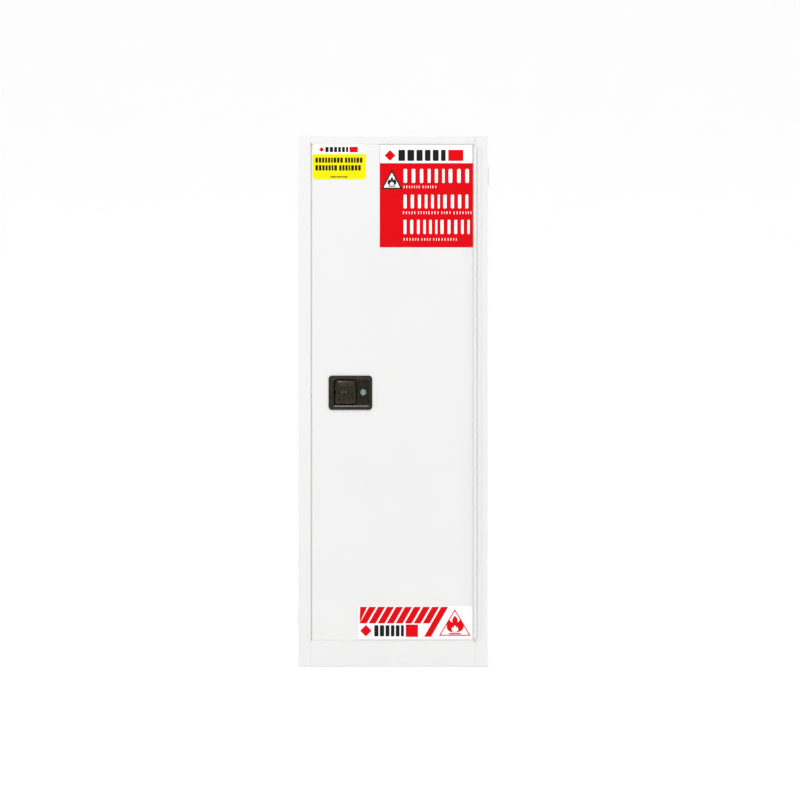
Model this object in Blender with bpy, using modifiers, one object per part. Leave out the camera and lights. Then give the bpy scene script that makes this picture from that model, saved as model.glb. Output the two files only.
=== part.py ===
"""Slim-line flammable storage cabinet: a double-walled steel cupboard with one hinged door.

The frame is metres, +Z up, +X to the right of someone who faces the door, and -Y towards them.
The origin is at the floor, under the middle of the outline. Every piece is one named object.
"""

import math

import bmesh
import bpy
from mathutils import Matrix, Vector

MM = 0.001
X, Y, Z = Vector((1, 0, 0)), Vector((0, 1, 0)), Vector((0, 0, 1))

# Driving dimensions of the cabinet
WIDTH = 590 * MM
HEIGHT = 1650 * MM
DEPTH = 460 * MM  # over the hinge barrel
SHEET = 1.2 * MM
GAP = 0.3 * MM  # between pieces that touch
WALL = 40 * MM  # both skins of a wall and the air between them
SKIRT_Z = 2 * MM  # the walls stop this far above the floor
FLANGE = 20 * MM  # folded edges of the outer panels

# Continuous hinge
BARREL_R = 5.2 * MM
LEAF = 1.8 * MM
HINGE_Z = (92 * MM, 1617 * MM)
KNUCKLES = 75
KNUCKLE_GAP = 0.5 * MM
PIN_R = 2.4 * MM
FRAME_LEAF, DOOR_LEAF = 12.5 * MM, 28 * MM  # widths of the flat leaves

# Front and back planes, and the hinge axis that fixes them
BACK_Y = DEPTH / 2
AXIS_Y = -DEPTH / 2 + BARREL_R
FRONT_Y = AXIS_Y + BARREL_R + GAP
AXIS_X = 255.5 * MM
SIDE_X = WIDTH / 2

# Door opening and the stop flange that the door closes towards
OPENING_X = 255.5 * MM
SILL_Z = 80.5 * MM
HEAD_Z = 1629 * MM
RAIL_STOP_Y = FRONT_Y + 42 * MM
STILE_STOP_Y = RAIL_STOP_Y + SHEET + 0.4 * MM
STOP = 18 * MM
STRIKE_R = 7 * MM  # holes in the frame for the bolts

# Inner liner
LINER_X = SIDE_X - WALL
LINER_Y0 = STILE_STOP_Y + SHEET + 0.4 * MM
LINER_Y1 = BACK_Y - WALL
LINER_TOP = HEIGHT - WALL
FLOOR_Z = 8 * MM
SUMP_Z = 47 * MM
SUMP_DEPTH = 50 * MM

# Shelving
SLOT_PITCH = 80 * MM
SLOT_Z0 = 150 * MM
SLOTS = 18
STANDARD_W, STANDARD_D = 25 * MM, 12 * MM
STANDARD_Z = (120 * MM, 1560 * MM)
STANDARD_Y = {"front": -120 * MM, "rear": 95 * MM}
SHELF_SLOTS = (4, 9, 14)
SHELF_X = 240.6 * MM
SHELF_Y = (-166 * MM, 180 * MM)
SHELF_LIP = 25 * MM
DRAIN_X = (-150 * MM, 0, 150 * MM)
BRACKET = 1.5 * MM
BRACKET_Y = (-150 * MM, 150 * MM)

# Vents: one low on the left, one high on the right, both near the back
VENT_Y = 150 * MM
VENT_Z = {"low": 140 * MM, "high": 1545 * MM}
VENT_SIDE = {"low": -1, "high": 1}
TUBE_R, BORE_R = 30 * MM, 26 * MM
VENT_FLANGE_R, VENT_FLANGE = 39 * MM, 3 * MM
CAP_R, CAP_HEAD, CAP_PLUG, CAP_DRIVE = 33 * MM, 7.7 * MM, 14 * MM, 22 * MM
SCREEN = 1.5 * MM

# Door
DOOR_X = (-251.5 * MM, 250 * MM)
DOOR_Z = (82.5 * MM, 1626.5 * MM)
DOOR_SKIN_DEPTH = 38 * MM
DOOR_BACK_Y = FRONT_Y + 39.8 * MM
INNER_SKIN_DEPTH = 4.2 * MM

# Handle: a recessed tray with a paddle on a vertical pin
PLATE_X, PLATE_Z = -132.3 * MM, 852.5 * MM
PLATE_SIZE = (136 * MM, 107 * MM)
PLATE_THICK = 3.5 * MM
TRAY_X, TRAY_Z = -129 * MM, 855.3 * MM
TRAY_SIZE = (107 * MM, 83 * MM)
TRAY_WALL = 2 * MM
TRAY_FLOOR_Y = FRONT_Y + 17 * MM
TRAY_BACK_Y = TRAY_FLOOR_Y + TRAY_WALL
PADDLE_X = (-178 * MM, -116 * MM)
PADDLE_Z = (818.5 * MM, 889.5 * MM)
PADDLE_Y = (FRONT_Y - 5.2 * MM, FRONT_Y + 0.8 * MM)
PADDLE_PIN_X, PADDLE_PIN_Y = -173 * MM, FRONT_Y + 2.5 * MM

# Three-point latch: the paddle's tongue slides the centre bolt, which turns a rotor, which pulls
# the two rods
LATCH_X, LATCH_Z = -132 * MM, 855.5 * MM
HALF_PULL = math.radians(17.5)  # the paddle's full pull is twice this
BOLT_Y = PADDLE_PIN_Y + 20 * MM
CRANK_R = (BOLT_Y - PADDLE_PIN_Y) / math.cos(HALF_PULL)
TRAVEL = 2 * CRANK_R * math.sin(HALF_PULL)
CRANK_PIN_R = 2.5 * MM
SLOT_PLAY = 0.3 * MM
ROTOR_Y = (BOLT_Y + 2.7 * MM, BOLT_Y + 5.7 * MM)
ROTOR_R = 27 * MM
ROD_Y = BOLT_Y + 8.5 * MM
ROD_R = 4 * MM
BAR = 3 * MM  # the flat bar of the centre bolt and of the rods' eyes
BAR_X = (-240 * MM, -117 * MM)
ROD_OFFSET = CRANK_R
THROW = 10.5 * MM  # how far each bolt stands out of the door

# Lock
LOCK_X, LOCK_Z = -92.3 * MM, 854 * MM
LOCK_FACE_Y = TRAY_FLOOR_Y - 12 * MM
PLUG_R = 6 * MM

# Levelling feet
FOOT_X = 240 * MM
PAD_R, PAD = 19 * MM, 4.5 * MM
FOOT_Y = {"front": FRONT_Y + 55 * MM, "rear": BACK_Y - 55 * MM}
STUD_R = 5 * MM

# Earth stud, on the left side near the back
EARTH_Y, EARTH_Z = 190 * MM, 60 * MM

# Labels: (left, bottom, width, height)
LABEL_THICK = 0.3 * MM
LABELS = {
    "label_title": (-250 * MM, 1517 * MM, 166 * MM, 109 * MM, 8 * MM, "label_yellow"),
    "label_warning": (-41 * MM, 1305 * MM, 290 * MM, 320.5 * MM, 1 * MM, "label_red"),
    "label_stripe": (-110 * MM, 84.7 * MM, 359 * MM, 107 * MM, 3 * MM, "label_white"),
}

MATERIALS = {  # colour, roughness, metallic
    "white_paint": ((0.89, 0.89, 0.885), 0.38, 0.0),
    "black_coat": ((0.035, 0.032, 0.026), 0.42, 0.3),
    "lock_metal": ((0.72, 0.74, 0.74), 0.25, 1.0),
    "zinc_steel": ((0.62, 0.62, 0.60), 0.35, 1.0),
    "galvanised": ((0.60, 0.61, 0.62), 0.45, 0.9),
    "foot_rubber": ((0.03, 0.03, 0.03), 0.7, 0.0),
    "label_yellow": ((0.86, 0.77, 0.01), 0.35, 0.0),
    "label_red": ((0.80, 0.01, 0.02), 0.35, 0.0),
    "label_white": ((0.92, 0.92, 0.92), 0.35, 0.0),
}


# ---------------------------------------------------------------- tools


def start_scene():
    """Clears the scene and makes the two collections and the materials."""
    for obj in list(bpy.data.objects):
        bpy.data.objects.remove(obj)
    made = []
    for name in ("flammable_storage_cabinet", "cutters"):
        collection = bpy.data.collections.new(name)
        bpy.context.scene.collection.children.link(collection)
        made.append(collection)
    for name, (colour, roughness, metallic) in MATERIALS.items():
        material = bpy.data.materials.new(name)
        material.use_nodes = True
        shader = material.node_tree.nodes["Principled BSDF"]
        shader.inputs["Base Color"].default_value = (*colour, 1)
        shader.inputs["Roughness"].default_value = roughness
        shader.inputs["Metallic"].default_value = metallic
    return made


PARTS, CUTTERS = start_scene()


def make(name, bm, place, material):
    """A named object from a bmesh. With no material it is a helper, which isn't part of the cabinet."""
    mesh = bpy.data.meshes.new(name)
    bm.to_mesh(mesh)
    bm.free()
    obj = bpy.data.objects.new(name, mesh)
    obj.matrix_world = place
    if material:
        mesh.materials.append(bpy.data.materials[material])
        PARTS.objects.link(obj)
    else:
        CUTTERS.objects.link(obj)
        obj.hide_render = True
        obj.display_type = "WIRE"
    return obj


def box(name, low, high, material=None):
    """A box between two corners, with its origin at its centre."""
    low, high = Vector(low), Vector(high)
    bm = bmesh.new()
    bmesh.ops.create_cube(bm, size=1)
    bmesh.ops.scale(bm, vec=high - low, verts=bm.verts)
    return make(name, bm, Matrix.Translation((low + high) / 2), material)


def boxes(name, corners):
    """One helper that holds several boxes which don't touch."""
    bm = bmesh.new()
    for low, high in corners:
        low, high = Vector(low), Vector(high)
        size = Matrix.Diagonal((*(high - low), 1))
        bmesh.ops.create_cube(bm, size=1, matrix=Matrix.Translation((low + high) / 2) @ size)
    return make(name, bm, Matrix.Identity(4), None)


def smooth(obj):
    """Shades round faces smoothly and keeps the corners between them crisp."""
    obj.data.shade_smooth()
    obj.data.set_sharp_from_angle(angle=math.radians(40))
    return obj


def cylinder(name, start, end, radius, material=None, sides=24):
    """A cylinder from start to end, with its origin half way."""
    start, end = Vector(start), Vector(end)
    along = end - start
    bm = bmesh.new()
    bmesh.ops.create_cone(
        bm,
        cap_ends=True,
        segments=sides,
        radius1=radius,
        radius2=radius,
        depth=along.length,
    )
    facing = Z.rotation_difference(along).to_matrix().to_4x4()
    obj = make(name, bm, Matrix.Translation((start + end) / 2) @ facing, material)
    return smooth(obj) if sides > 8 else obj


def bolt_bar(name, start, tip, radius, sides):
    """A helper round bar with a tapered nose on its far end."""
    start, tip = Vector(start), Vector(tip)
    nose = 4 * MM
    along = (tip - start).normalized()
    obj = cylinder(name, start, tip - along * nose, radius, None, sides)
    bm = bmesh.new()
    bm.from_mesh(obj.data)
    end = max(bm.faces, key=lambda f: f.calc_center_median().z + f.normal.z)
    made = bmesh.ops.extrude_discrete_faces(bm, faces=[end])["faces"][0]
    bmesh.ops.translate(bm, vec=Z * nose, verts=made.verts)
    bmesh.ops.scale(bm, vec=Vector((0.5, 0.5, 1)), verts=made.verts)
    bm.to_mesh(obj.data)
    bm.free()
    return obj


def pan(name, low, high, open_towards, material, sheet=SHEET):
    """A folded tray: five sides of a box, in sheet that keeps inside it."""
    obj = box(name, low, high, material)
    bm = bmesh.new()
    bm.from_mesh(obj.data)
    gone = [f for f in bm.faces if f.normal.dot(open_towards) > 0.9]
    bmesh.ops.delete(bm, geom=gone, context="FACES_ONLY")
    bm.to_mesh(obj.data)
    bm.free()
    thicken(obj, sheet)
    return obj


def thicken(obj, sheet):
    """Gives an open surface its thickness, on the side that its faces turn away from."""
    solidify = obj.modifiers.new("sheet", "SOLIDIFY")
    solidify.thickness = sheet
    solidify.offset = -1
    solidify.use_even_offset = True


def folded(name, path, across, span, material, sheet=SHEET):
    """Sheet folded along a path in the plane across an axis, and as long as span.

    path holds pairs in the two other axes, in X, Y, Z order. The shown side is on the right of the
    path, or on its left for the Y axis.
    """
    axis = "XYZ".index(across)
    others = [i for i in range(3) if i != axis]
    bm = bmesh.new()
    line = []
    for pair in path:
        point = Vector((0, 0, 0))
        point[axis] = span[0]
        point[others[0]], point[others[1]] = pair
        line.append(bm.verts.new(point))
    edges = [bm.edges.new(pair) for pair in zip(line, line[1:])]
    along = Vector((0, 0, 0))
    along[axis] = span[1] - span[0]
    made = bmesh.ops.extrude_edge_only(bm, edges=edges)["geom"]
    ends = [v for v in made if isinstance(v, bmesh.types.BMVert)]
    bmesh.ops.translate(bm, vec=along, verts=ends)
    bm.normal_update()
    bm.faces.ensure_lookup_table()
    first = next(f for f in bm.faces if line[0] in f.verts)
    shown = (line[1].co - line[0].co).cross(along)
    if first.normal.dot(shown) < 0:
        bmesh.ops.reverse_faces(bm, faces=bm.faces)
    obj = make(name, bm, Matrix.Identity(4), material)
    thicken(obj, sheet)
    return obj


def turned(name, profile, start, along, material, steps=24):
    """A ring turned from a closed profile of (distance along the axis, radius) pairs.

    The profile runs out over the near end first, and comes back along the bore.
    """
    bm = bmesh.new()
    ring = [bm.verts.new((radius, 0, height)) for height, radius in reversed(profile)]
    for pair in zip(ring, ring[1:] + ring[:1]):
        bm.edges.new(pair)
    facing = Z.rotation_difference(along).to_matrix().to_4x4()
    obj = make(name, bm, Matrix.Translation(start) @ facing, material)
    screw = obj.modifiers.new("turn", "SCREW")
    screw.steps = screw.render_steps = steps
    screw.use_merge_vertices = True
    screw.merge_threshold = 1e-5
    screw.use_smooth_shade = True
    return obj


def plate(name, outline, middle_y, thickness, material=None):
    """A flat plate in the plane of the door, from an outline of (x, z) points."""
    curve = bpy.data.curves.new(name, "CURVE")
    curve.dimensions = "2D"
    curve.fill_mode = "BOTH"
    curve.extrude = thickness / 2
    spline = curve.splines.new("POLY")
    spline.points.add(len(outline) - 1)
    for point, (x, z) in zip(spline.points, outline):
        point.co = (x, z, 0, 1)
    spline.use_cyclic_u = True
    drawn = bpy.data.objects.new(name + "_outline", curve)
    CUTTERS.objects.link(drawn)
    graph = bpy.context.evaluated_depsgraph_get()
    mesh = bpy.data.meshes.new_from_object(drawn.evaluated_get(graph))
    bm = bmesh.new()
    bm.from_mesh(mesh)
    bmesh.ops.remove_doubles(bm, verts=bm.verts, dist=1e-6)
    bpy.data.objects.remove(drawn)
    bpy.data.meshes.remove(mesh)
    upright = Matrix.Translation((0, middle_y, 0)) @ Matrix.Rotation(math.radians(90), 4, "X")
    return make(name, bm, upright, material)


def rounded(centre_x, centre_z, width, height, radius, steps=5):
    """The outline of a rectangle with round corners."""
    points = []
    for quarter in range(4):
        towards = math.radians(45 + 90 * quarter)
        corner_x = centre_x + math.copysign(width / 2 - radius, math.cos(towards))
        corner_z = centre_z + math.copysign(height / 2 - radius, math.sin(towards))
        for step in range(steps + 1):
            angle = math.radians(90 * quarter + 90 * step / steps)
            points.append((corner_x + radius * math.cos(angle), corner_z + radius * math.sin(angle)))
    return points


def combine(obj, operation, *others):
    for other in others:
        boolean = obj.modifiers.new(other.name, "BOOLEAN")
        boolean.operation = operation
        boolean.object = other


def cut(obj, *cutters):
    combine(obj, "DIFFERENCE", *cutters)


def join(obj, *others):
    combine(obj, "UNION", *others)


def moving(name, at, *pieces):
    """Hangs pieces on an empty that stands on their joint's axis."""
    empty = bpy.data.objects.new(name, None)
    empty.location = at
    empty.empty_display_size = 20 * MM
    PARTS.objects.link(empty)
    bpy.context.view_layer.update()
    for piece in pieces:
        piece.parent = empty
        piece.matrix_parent_inverse = empty.matrix_world.inverted()
    return empty


# ---------------------------------------------------------------- cabinet body


def outer_casing():
    """The outer walls, folded panel by panel round the air gap."""
    front, back = FRONT_Y + SHEET + GAP, BACK_Y - SHEET - GAP
    top = HEIGHT - SHEET - GAP
    for side, name in ((-1, "outer_side_left"), (1, "outer_side_right")):
        x, tip = side * SIDE_X, side * (SIDE_X - FLANGE)
        path = [(tip, back), (x, back), (x, front), (tip, front)]
        panel = folded(name, path if side < 0 else path[::-1], "Z", (SKIRT_Z, top), "white_paint")
        vent = "low" if side < 0 else "high"
        cut(panel, vent_cutter("outer_" + vent, vent, x))
        if side < 0:
            reach = 5 * MM
            hole = ((x - reach, EARTH_Y, EARTH_Z), (x + reach, EARTH_Y, EARTH_Z))
            cut(panel, cylinder("earth_hole", *hole, 4.6 * MM, sides=16))
    box("outer_top", (-SIDE_X, FRONT_Y, HEIGHT - SHEET), (SIDE_X, BACK_Y, HEIGHT), "white_paint")
    box("outer_back", (-SIDE_X, BACK_Y - SHEET, SKIRT_Z), (SIDE_X, BACK_Y, top), "white_paint")
    low = (-SIDE_X + SHEET + 0.4 * MM, front + SHEET + GAP, FLOOR_Z)
    high = (SIDE_X - SHEET - 0.4 * MM, back - SHEET - GAP, FLOOR_Z + FLANGE)
    floor = pan("outer_floor", low, high, Z, "white_paint")
    for _, (x, y) in feet():
        at = ((x, y, FLOOR_Z - 5 * MM), (x, y, FLOOR_Z + 5 * MM))
        cut(floor, cylinder("foot_hole", *at, 5.8 * MM, sides=16))


def front_frame():
    """Two full-height stiles with the head and sill between them.

    Each has a face, a jamb and a stop flange.
    """
    ends = (SKIRT_Z, HEIGHT - SHEET - GAP)
    for side, name in ((-1, "frame_stile_left"), (1, "frame_stile_right")):
        path = [
            (side * SIDE_X, FRONT_Y),
            (side * OPENING_X, FRONT_Y),
            (side * OPENING_X, STILE_STOP_Y),
            (side * (OPENING_X - STOP), STILE_STOP_Y),
        ]
        stile = folded(name, path if side < 0 else path[::-1], "Z", ends, "white_paint")
        inner = sorted((side * (SIDE_X - 5 * MM), side * (OPENING_X - STOP - 5 * MM)))
        notch_y = (FRONT_Y + SHEET + 0.5 * MM, STILE_STOP_Y + 5 * MM)
        low = (inner[0], notch_y[0], -10 * MM)
        cut(stile, box(name + "_notch", low, (inner[1], notch_y[1], SUMP_Z - 1 * MM)))
        if side < 0:
            x = -OPENING_X
            at = ((x - 5 * MM, BOLT_Y, LATCH_Z), (x + 5 * MM, BOLT_Y, LATCH_Z))
            cut(stile, cylinder("bolt_strike", *at, STRIKE_R, sides=16))
    span = (-OPENING_X + GAP, OPENING_X - GAP)
    head = [
        (FRONT_Y, ends[1]),
        (FRONT_Y, HEAD_Z),
        (RAIL_STOP_Y, HEAD_Z),
        (RAIL_STOP_Y, HEAD_Z - STOP),
    ]
    sill = [
        (RAIL_STOP_Y, SILL_Z + STOP),
        (RAIL_STOP_Y, SILL_Z),
        (FRONT_Y, SILL_Z),
        (FRONT_Y, SKIRT_Z),
    ]
    for name, path, x, z in (
        ("frame_head", head, LATCH_X - ROD_OFFSET, HEAD_Z),
        ("frame_sill", sill, LATCH_X + ROD_OFFSET, SILL_Z),
    ):
        rail = folded(name, path, "X", span, "white_paint")
        at = ((x, ROD_Y, z - 5 * MM), (x, ROD_Y, z + 5 * MM))
        cut(rail, cylinder(name + "_strike", *at, STRIKE_R, sides=16))


def inner_liner():
    """The inner walls and the liquid-tight sump tray."""
    y0, y1 = LINER_Y0, LINER_Y1
    top = LINER_TOP - GAP
    for side, name in ((-1, "liner_side_left"), (1, "liner_side_right")):
        x = sorted((side * LINER_X, side * (LINER_X + SHEET)))
        sheet = box(name, (x[0], y0, SUMP_Z), (x[1], y1 - GAP, top), "white_paint")
        vent = "low" if side < 0 else "high"
        cut(sheet, vent_cutter("liner_" + vent, vent, side * LINER_X))
    wide = LINER_X + SHEET
    box("liner_back", (-wide, y1, SUMP_Z), (wide, y1 + SHEET, top), "white_paint")
    box("liner_top", (-wide, y0, LINER_TOP), (wide, y1 + SHEET, LINER_TOP + SHEET), "white_paint")
    inside = LINER_X - 0.4 * MM
    low = (-inside, y0 + 0.1 * MM, SUMP_Z)
    pan("sump_pan", low, (inside, y1 - 0.4 * MM, SUMP_Z + SUMP_DEPTH), Z, "white_paint")


# ---------------------------------------------------------------- vents, earth and feet


def vent_cutter(name, vent, x):
    reach = 4 * MM
    start, end = (x - reach, VENT_Y, VENT_Z[vent]), (x + reach, VENT_Y, VENT_Z[vent])
    return cylinder("vent_hole_" + name, start, end, TUBE_R + 0.8 * MM, sides=32)


def vents():
    """Each vent is a collar through both walls, a flame screen inside it and a cap outside."""
    face = SIDE_X + GAP + VENT_FLANGE
    inner_end = face - (LINER_X - 6 * MM)
    for vent, side in VENT_SIDE.items():
        centre = Vector((0, VENT_Y, VENT_Z[vent]))
        inwards = -side * X
        outside = centre + side * face * X
        profile = [
            (0, BORE_R),
            (0, VENT_FLANGE_R),
            (VENT_FLANGE, VENT_FLANGE_R),
            (VENT_FLANGE, TUBE_R),
            (inner_end, TUBE_R),
            (inner_end, BORE_R),
        ]
        turned("vent_collar_" + vent, profile, outside, inwards, "zinc_steel")

        screen_at = outside + (inner_end - 4 * MM) * inwards
        screen = cylinder(
            "flame_screen_" + vent,
            screen_at,
            screen_at + SCREEN * inwards,
            BORE_R - 0.4 * MM,
            "zinc_steel",
        )
        cut(screen, screen_holes(vent, screen_at, inwards))

        under = outside - GAP * inwards
        top = under - CAP_HEAD * inwards
        cap = cylinder("vent_cap_" + vent, top, under, CAP_R, "white_paint", 32)
        plug = cylinder(
            "vent_plug_" + vent,
            under - 1 * MM * inwards,
            under + CAP_PLUG * inwards,
            BORE_R - 0.5 * MM,
        )
        join(cap, plug)
        half = Vector((6 * MM, CAP_DRIVE / 2, CAP_DRIVE / 2))
        cut(cap, box("vent_drive_" + vent, top - half, top + half))
        moving("vent_cap_%s_axis" % vent, under, cap)


def screen_holes(vent, at, inwards):
    """A hexagonal pattern of holes through a flame screen, as one helper."""
    pitch, radius, rings = 14 * MM, 5 * MM, 1
    bm = bmesh.new()
    face = Z.rotation_difference(X).to_matrix().to_4x4()
    for row in range(-rings, rings + 1):
        for column in range(-rings, rings + 1):
            if abs(row + column) > rings:
                continue
            y = pitch * (column + row / 2)
            z = pitch * row * math.sqrt(3) / 2
            place = Matrix.Translation(at + Vector((0, y, z))) @ face
            bmesh.ops.create_cone(
                bm,
                cap_ends=True,
                segments=6,
                radius1=radius,
                radius2=radius,
                depth=8 * MM,
                matrix=place,
            )
    return make("screen_holes_" + vent, bm, Matrix.Identity(4), None)


def earth_point():
    """A stud through the left wall with a nut for an earth lead."""
    inside, outside = -SIDE_X + SHEET + GAP, -SIDE_X - GAP
    centre = Vector((0, EARTH_Y, EARTH_Z))
    start, end = centre + X * (inside + 5.3 * MM), centre + X * (outside - 10.5 * MM)
    stud = cylinder("earth_stud", start, end, 4 * MM, "zinc_steel", 16)
    head = cylinder("earth_head", start, centre + X * inside, 7.5 * MM, sides=6)
    join(stud, head)
    nut_end = centre + X * (outside - 6.5 * MM)
    nut = cylinder("earth_nut", centre + X * outside, nut_end, 7.5 * MM, "zinc_steel", 6)
    bore = cylinder("earth_bore", centre + X * inside, nut_end - X * 5 * MM, 4.4 * MM, sides=16)
    cut(nut, bore)


def feet():
    """(name, (x, y)) of each foot."""
    for end, y in FOOT_Y.items():
        for side, x in (("left", -FOOT_X), ("right", FOOT_X)):
            yield f"{end}_{side}", (x, y)


def levelling_feet():
    """Four studded feet, each screwed into a nut on the outer floor."""
    for name, (x, y) in feet():
        foot = cylinder("foot_" + name, (x, y, 0), (x, y, PAD), PAD_R, "foot_rubber")
        hexagon = cylinder("foot_hex_" + name, (x, y, 4 * MM), (x, y, 7.6 * MM), 9 * MM, sides=6)
        stud = cylinder("foot_stud_" + name, (x, y, 5 * MM), (x, y, 42 * MM), STUD_R, sides=12)
        join(foot, hexagon, stud)
        moving(f"foot_{name}_axis", (x, y, 0), foot)
        low, high = FLOOR_Z + SHEET + GAP, FLOOR_Z + SHEET + GAP + 8 * MM
        nut = cylinder("foot_nut_" + name, (x, y, low), (x, y, high), 9.8 * MM, "zinc_steel", 6)
        at = ((x, y, low - 5 * MM), (x, y, high + 5 * MM))
        cut(nut, cylinder("foot_bore_" + name, *at, STUD_R + 0.35 * MM, sides=12))


# ---------------------------------------------------------------- shelving


def shelf_standards():
    """Slotted channels on the side walls."""
    web = LINER_X - STANDARD_D
    foot = LINER_X - 0.6 * MM
    for side, hand in ((-1, "left"), (1, "right")):
        for end, y in STANDARD_Y.items():
            near, far = y - STANDARD_W / 2, y + STANDARD_W / 2
            path = [(side * foot, near), (side * web, near), (side * web, far), (side * foot, far)]
            name = f"shelf_standard_{end}_{hand}"
            standard = folded(
                name, path if side < 0 else path[::-1], "Z", STANDARD_Z, "white_paint", BRACKET
            )
            half = Vector((4 * MM, 1.5 * MM, 7 * MM))
            holes = []
            for slot in range(SLOTS):
                centre = Vector((side * web, y, SLOT_Z0 + slot * SLOT_PITCH))
                holes.append((centre - half, centre + half))
            cut(standard, boxes(name + "_slots", holes))


def shelves():
    """Each shelf is a folded deck that lies on two angle brackets hooked into the standards."""
    web = LINER_X - STANDARD_D
    inner = web - 0.4 * MM - BRACKET
    for number, slot in enumerate(SHELF_SLOTS, 1):
        seat = SLOT_Z0 + slot * SLOT_PITCH - 6 * MM
        for side, hand in ((-1, "left"), (1, "right")):
            leg, toe = side * inner, side * (inner - 19 * MM)
            path = [(leg, seat + 18 * MM), (leg, seat), (toe, seat)]
            name = f"shelf_{number}_bracket_{hand}"
            bracket = folded(
                name, path if side < 0 else path[::-1], "Y", BRACKET_Y, "galvanised", BRACKET
            )
            tongues = []
            for y in STANDARD_Y.values():
                near, far = side * (inner + 0.5 * MM), side * (web + 5 * MM)
                low_x, high_x = sorted((near, far))
                slot_z = seat + 6 * MM
                low = (low_x, y - 1.1 * MM, slot_z - 5 * MM)
                tongues.append((low, (high_x, y + 1.1 * MM, slot_z + 5 * MM)))
            join(bracket, boxes(name + "_hooks", tongues))
        deck = seat + GAP + SHEET
        near, far = SHELF_Y
        path = [(far, deck - SHELF_LIP), (far, deck), (near, deck), (near, deck - SHELF_LIP)]
        shelf = folded(f"shelf_{number}", path, "X", (-SHELF_X, SHELF_X), "galvanised")
        drains = []
        for x in DRAIN_X:
            low = (x - 30 * MM, far - 16 * MM, deck - 5 * MM)
            drains.append((low, (x + 30 * MM, far - 10 * MM, deck + 5 * MM)))
        cut(shelf, boxes(f"shelf_{number}_drains", drains))
        moving(f"shelf_{number}_axis", (0, 0, deck), shelf)


# ---------------------------------------------------------------- hinge


def hinge_leaf(name, own, edge, direction, curl_from, curl_step, width):
    """One leaf of the continuous hinge: a strip with a curl of sheet round the pin at each own knuckle.

    own is 0 or 1 and picks every second knuckle. edge is the leaf's edge beside the barrel, and
    direction runs from it across the strip. The curl runs round the axis from curl_from by curl_step.
    """
    length = (HINGE_Z[1] - HINGE_Z[0]) / KNUCKLES
    axis = Vector((AXIS_X, AXIS_Y))
    arc_steps = 5
    bm = bmesh.new()
    previous = None
    for knuckle in range(KNUCKLES):
        start = HINGE_Z[0] + knuckle * length + KNUCKLE_GAP / 2
        end = start + length - KNUCKLE_GAP
        ends = []
        for z in (start, end):
            near, far = edge, edge + direction * width
            ends.append([bm.verts.new((*near, z)), bm.verts.new((*far, z))])
        if previous:
            bm.faces.new((previous[0], previous[1], ends[0][1], ends[0][0]))
        bm.faces.new((ends[0][0], ends[0][1], ends[1][1], ends[1][0]))
        previous = ends[1]
        if knuckle % 2 != own:
            continue
        low, high = ends[0][0], ends[1][0]
        for step in range(arc_steps + 1):
            angle = curl_from + curl_step * step
            on_arc = axis + BARREL_R * Vector((math.cos(angle), math.sin(angle)))
            next_low, next_high = bm.verts.new((*on_arc, start)), bm.verts.new((*on_arc, end))
            bm.faces.new((next_low, low, high, next_high))
            low, high = next_low, next_high
    bm.normal_update()
    outwards = -(axis - (edge + direction * width))
    bm.faces.ensure_lookup_table()
    normal = bm.faces[0].normal.to_2d()
    if normal.dot(outwards) < 0:
        bmesh.ops.reverse_faces(bm, faces=bm.faces)
    leaf = make(name, bm, Matrix.Identity(4), "white_paint")
    thicken(leaf, LEAF)
    return leaf


def hinge():
    """The frame leaf lies on the right stile's face. The door leaf lies on the door's right edge."""
    step = math.radians(60)
    edge = Vector((AXIS_X + 6 * MM, AXIS_Y + BARREL_R))
    hinge_leaf("hinge_leaf_frame", 0, edge, Vector((1, 0)), math.radians(90), step, FRAME_LEAF)
    edge = Vector((AXIS_X - BARREL_R, FRONT_Y + 0.3 * MM))
    leaf = hinge_leaf("hinge_leaf_door", 1, edge, Vector((0, 1)), math.radians(180), step, DOOR_LEAF)
    low, high = HINGE_Z
    cylinder("hinge_pin", (AXIS_X, AXIS_Y, low), (AXIS_X, AXIS_Y, high), PIN_R, "zinc_steel", 12)
    return leaf


# ---------------------------------------------------------------- door


def door_skins():
    """The door is an outer pan closed by a shallow inner pan, with the latch between them."""
    low = (DOOR_X[0], FRONT_Y, DOOR_Z[0])
    high = (DOOR_X[1], FRONT_Y + DOOR_SKIN_DEPTH, DOOR_Z[1])
    outer = pan("door_outer_skin", low, high, Y, "white_paint")
    half = Vector((TRAY_SIZE[0] / 2, 0, TRAY_SIZE[1] / 2)) + Vector((3 * MM, 5 * MM, 3 * MM))
    middle = Vector((TRAY_X, FRONT_Y, TRAY_Z))
    cut(outer, box("handle_hole", middle - half, middle + half))
    reach = 5 * MM
    for name, x, z in (
        ("rod_hole_top", LATCH_X - ROD_OFFSET, DOOR_Z[1]),
        ("rod_hole_bottom", LATCH_X + ROD_OFFSET, DOOR_Z[0]),
    ):
        cut(outer, cylinder(name, (x, ROD_Y, z - reach), (x, ROD_Y, z + reach), 4.8 * MM, sides=16))
    x = DOOR_X[0]
    at = ((x - reach, BOLT_Y, LATCH_Z), (x + reach, BOLT_Y, LATCH_Z))
    cut(outer, cylinder("bolt_hole", *at, 5.8 * MM, sides=16))

    inset = SHEET + GAP
    low = (DOOR_X[0] + inset, DOOR_BACK_Y - INNER_SKIN_DEPTH, DOOR_Z[0] + inset)
    high = (DOOR_X[1] - inset, DOOR_BACK_Y, DOOR_Z[1] - inset)
    inner = pan("door_inner_skin", low, high, -Y, "white_paint")
    return outer, inner


def labels():
    """Three vinyl labels on the door's face."""
    made = []
    middle_y = FRONT_Y - GAP - LABEL_THICK / 2
    for name, (left, bottom, width, height, radius, material) in LABELS.items():
        outline = rounded(left + width / 2, bottom + height / 2, width, height, radius, 3)
        made.append(plate(name, outline, middle_y, LABEL_THICK, material))
    return made


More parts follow.
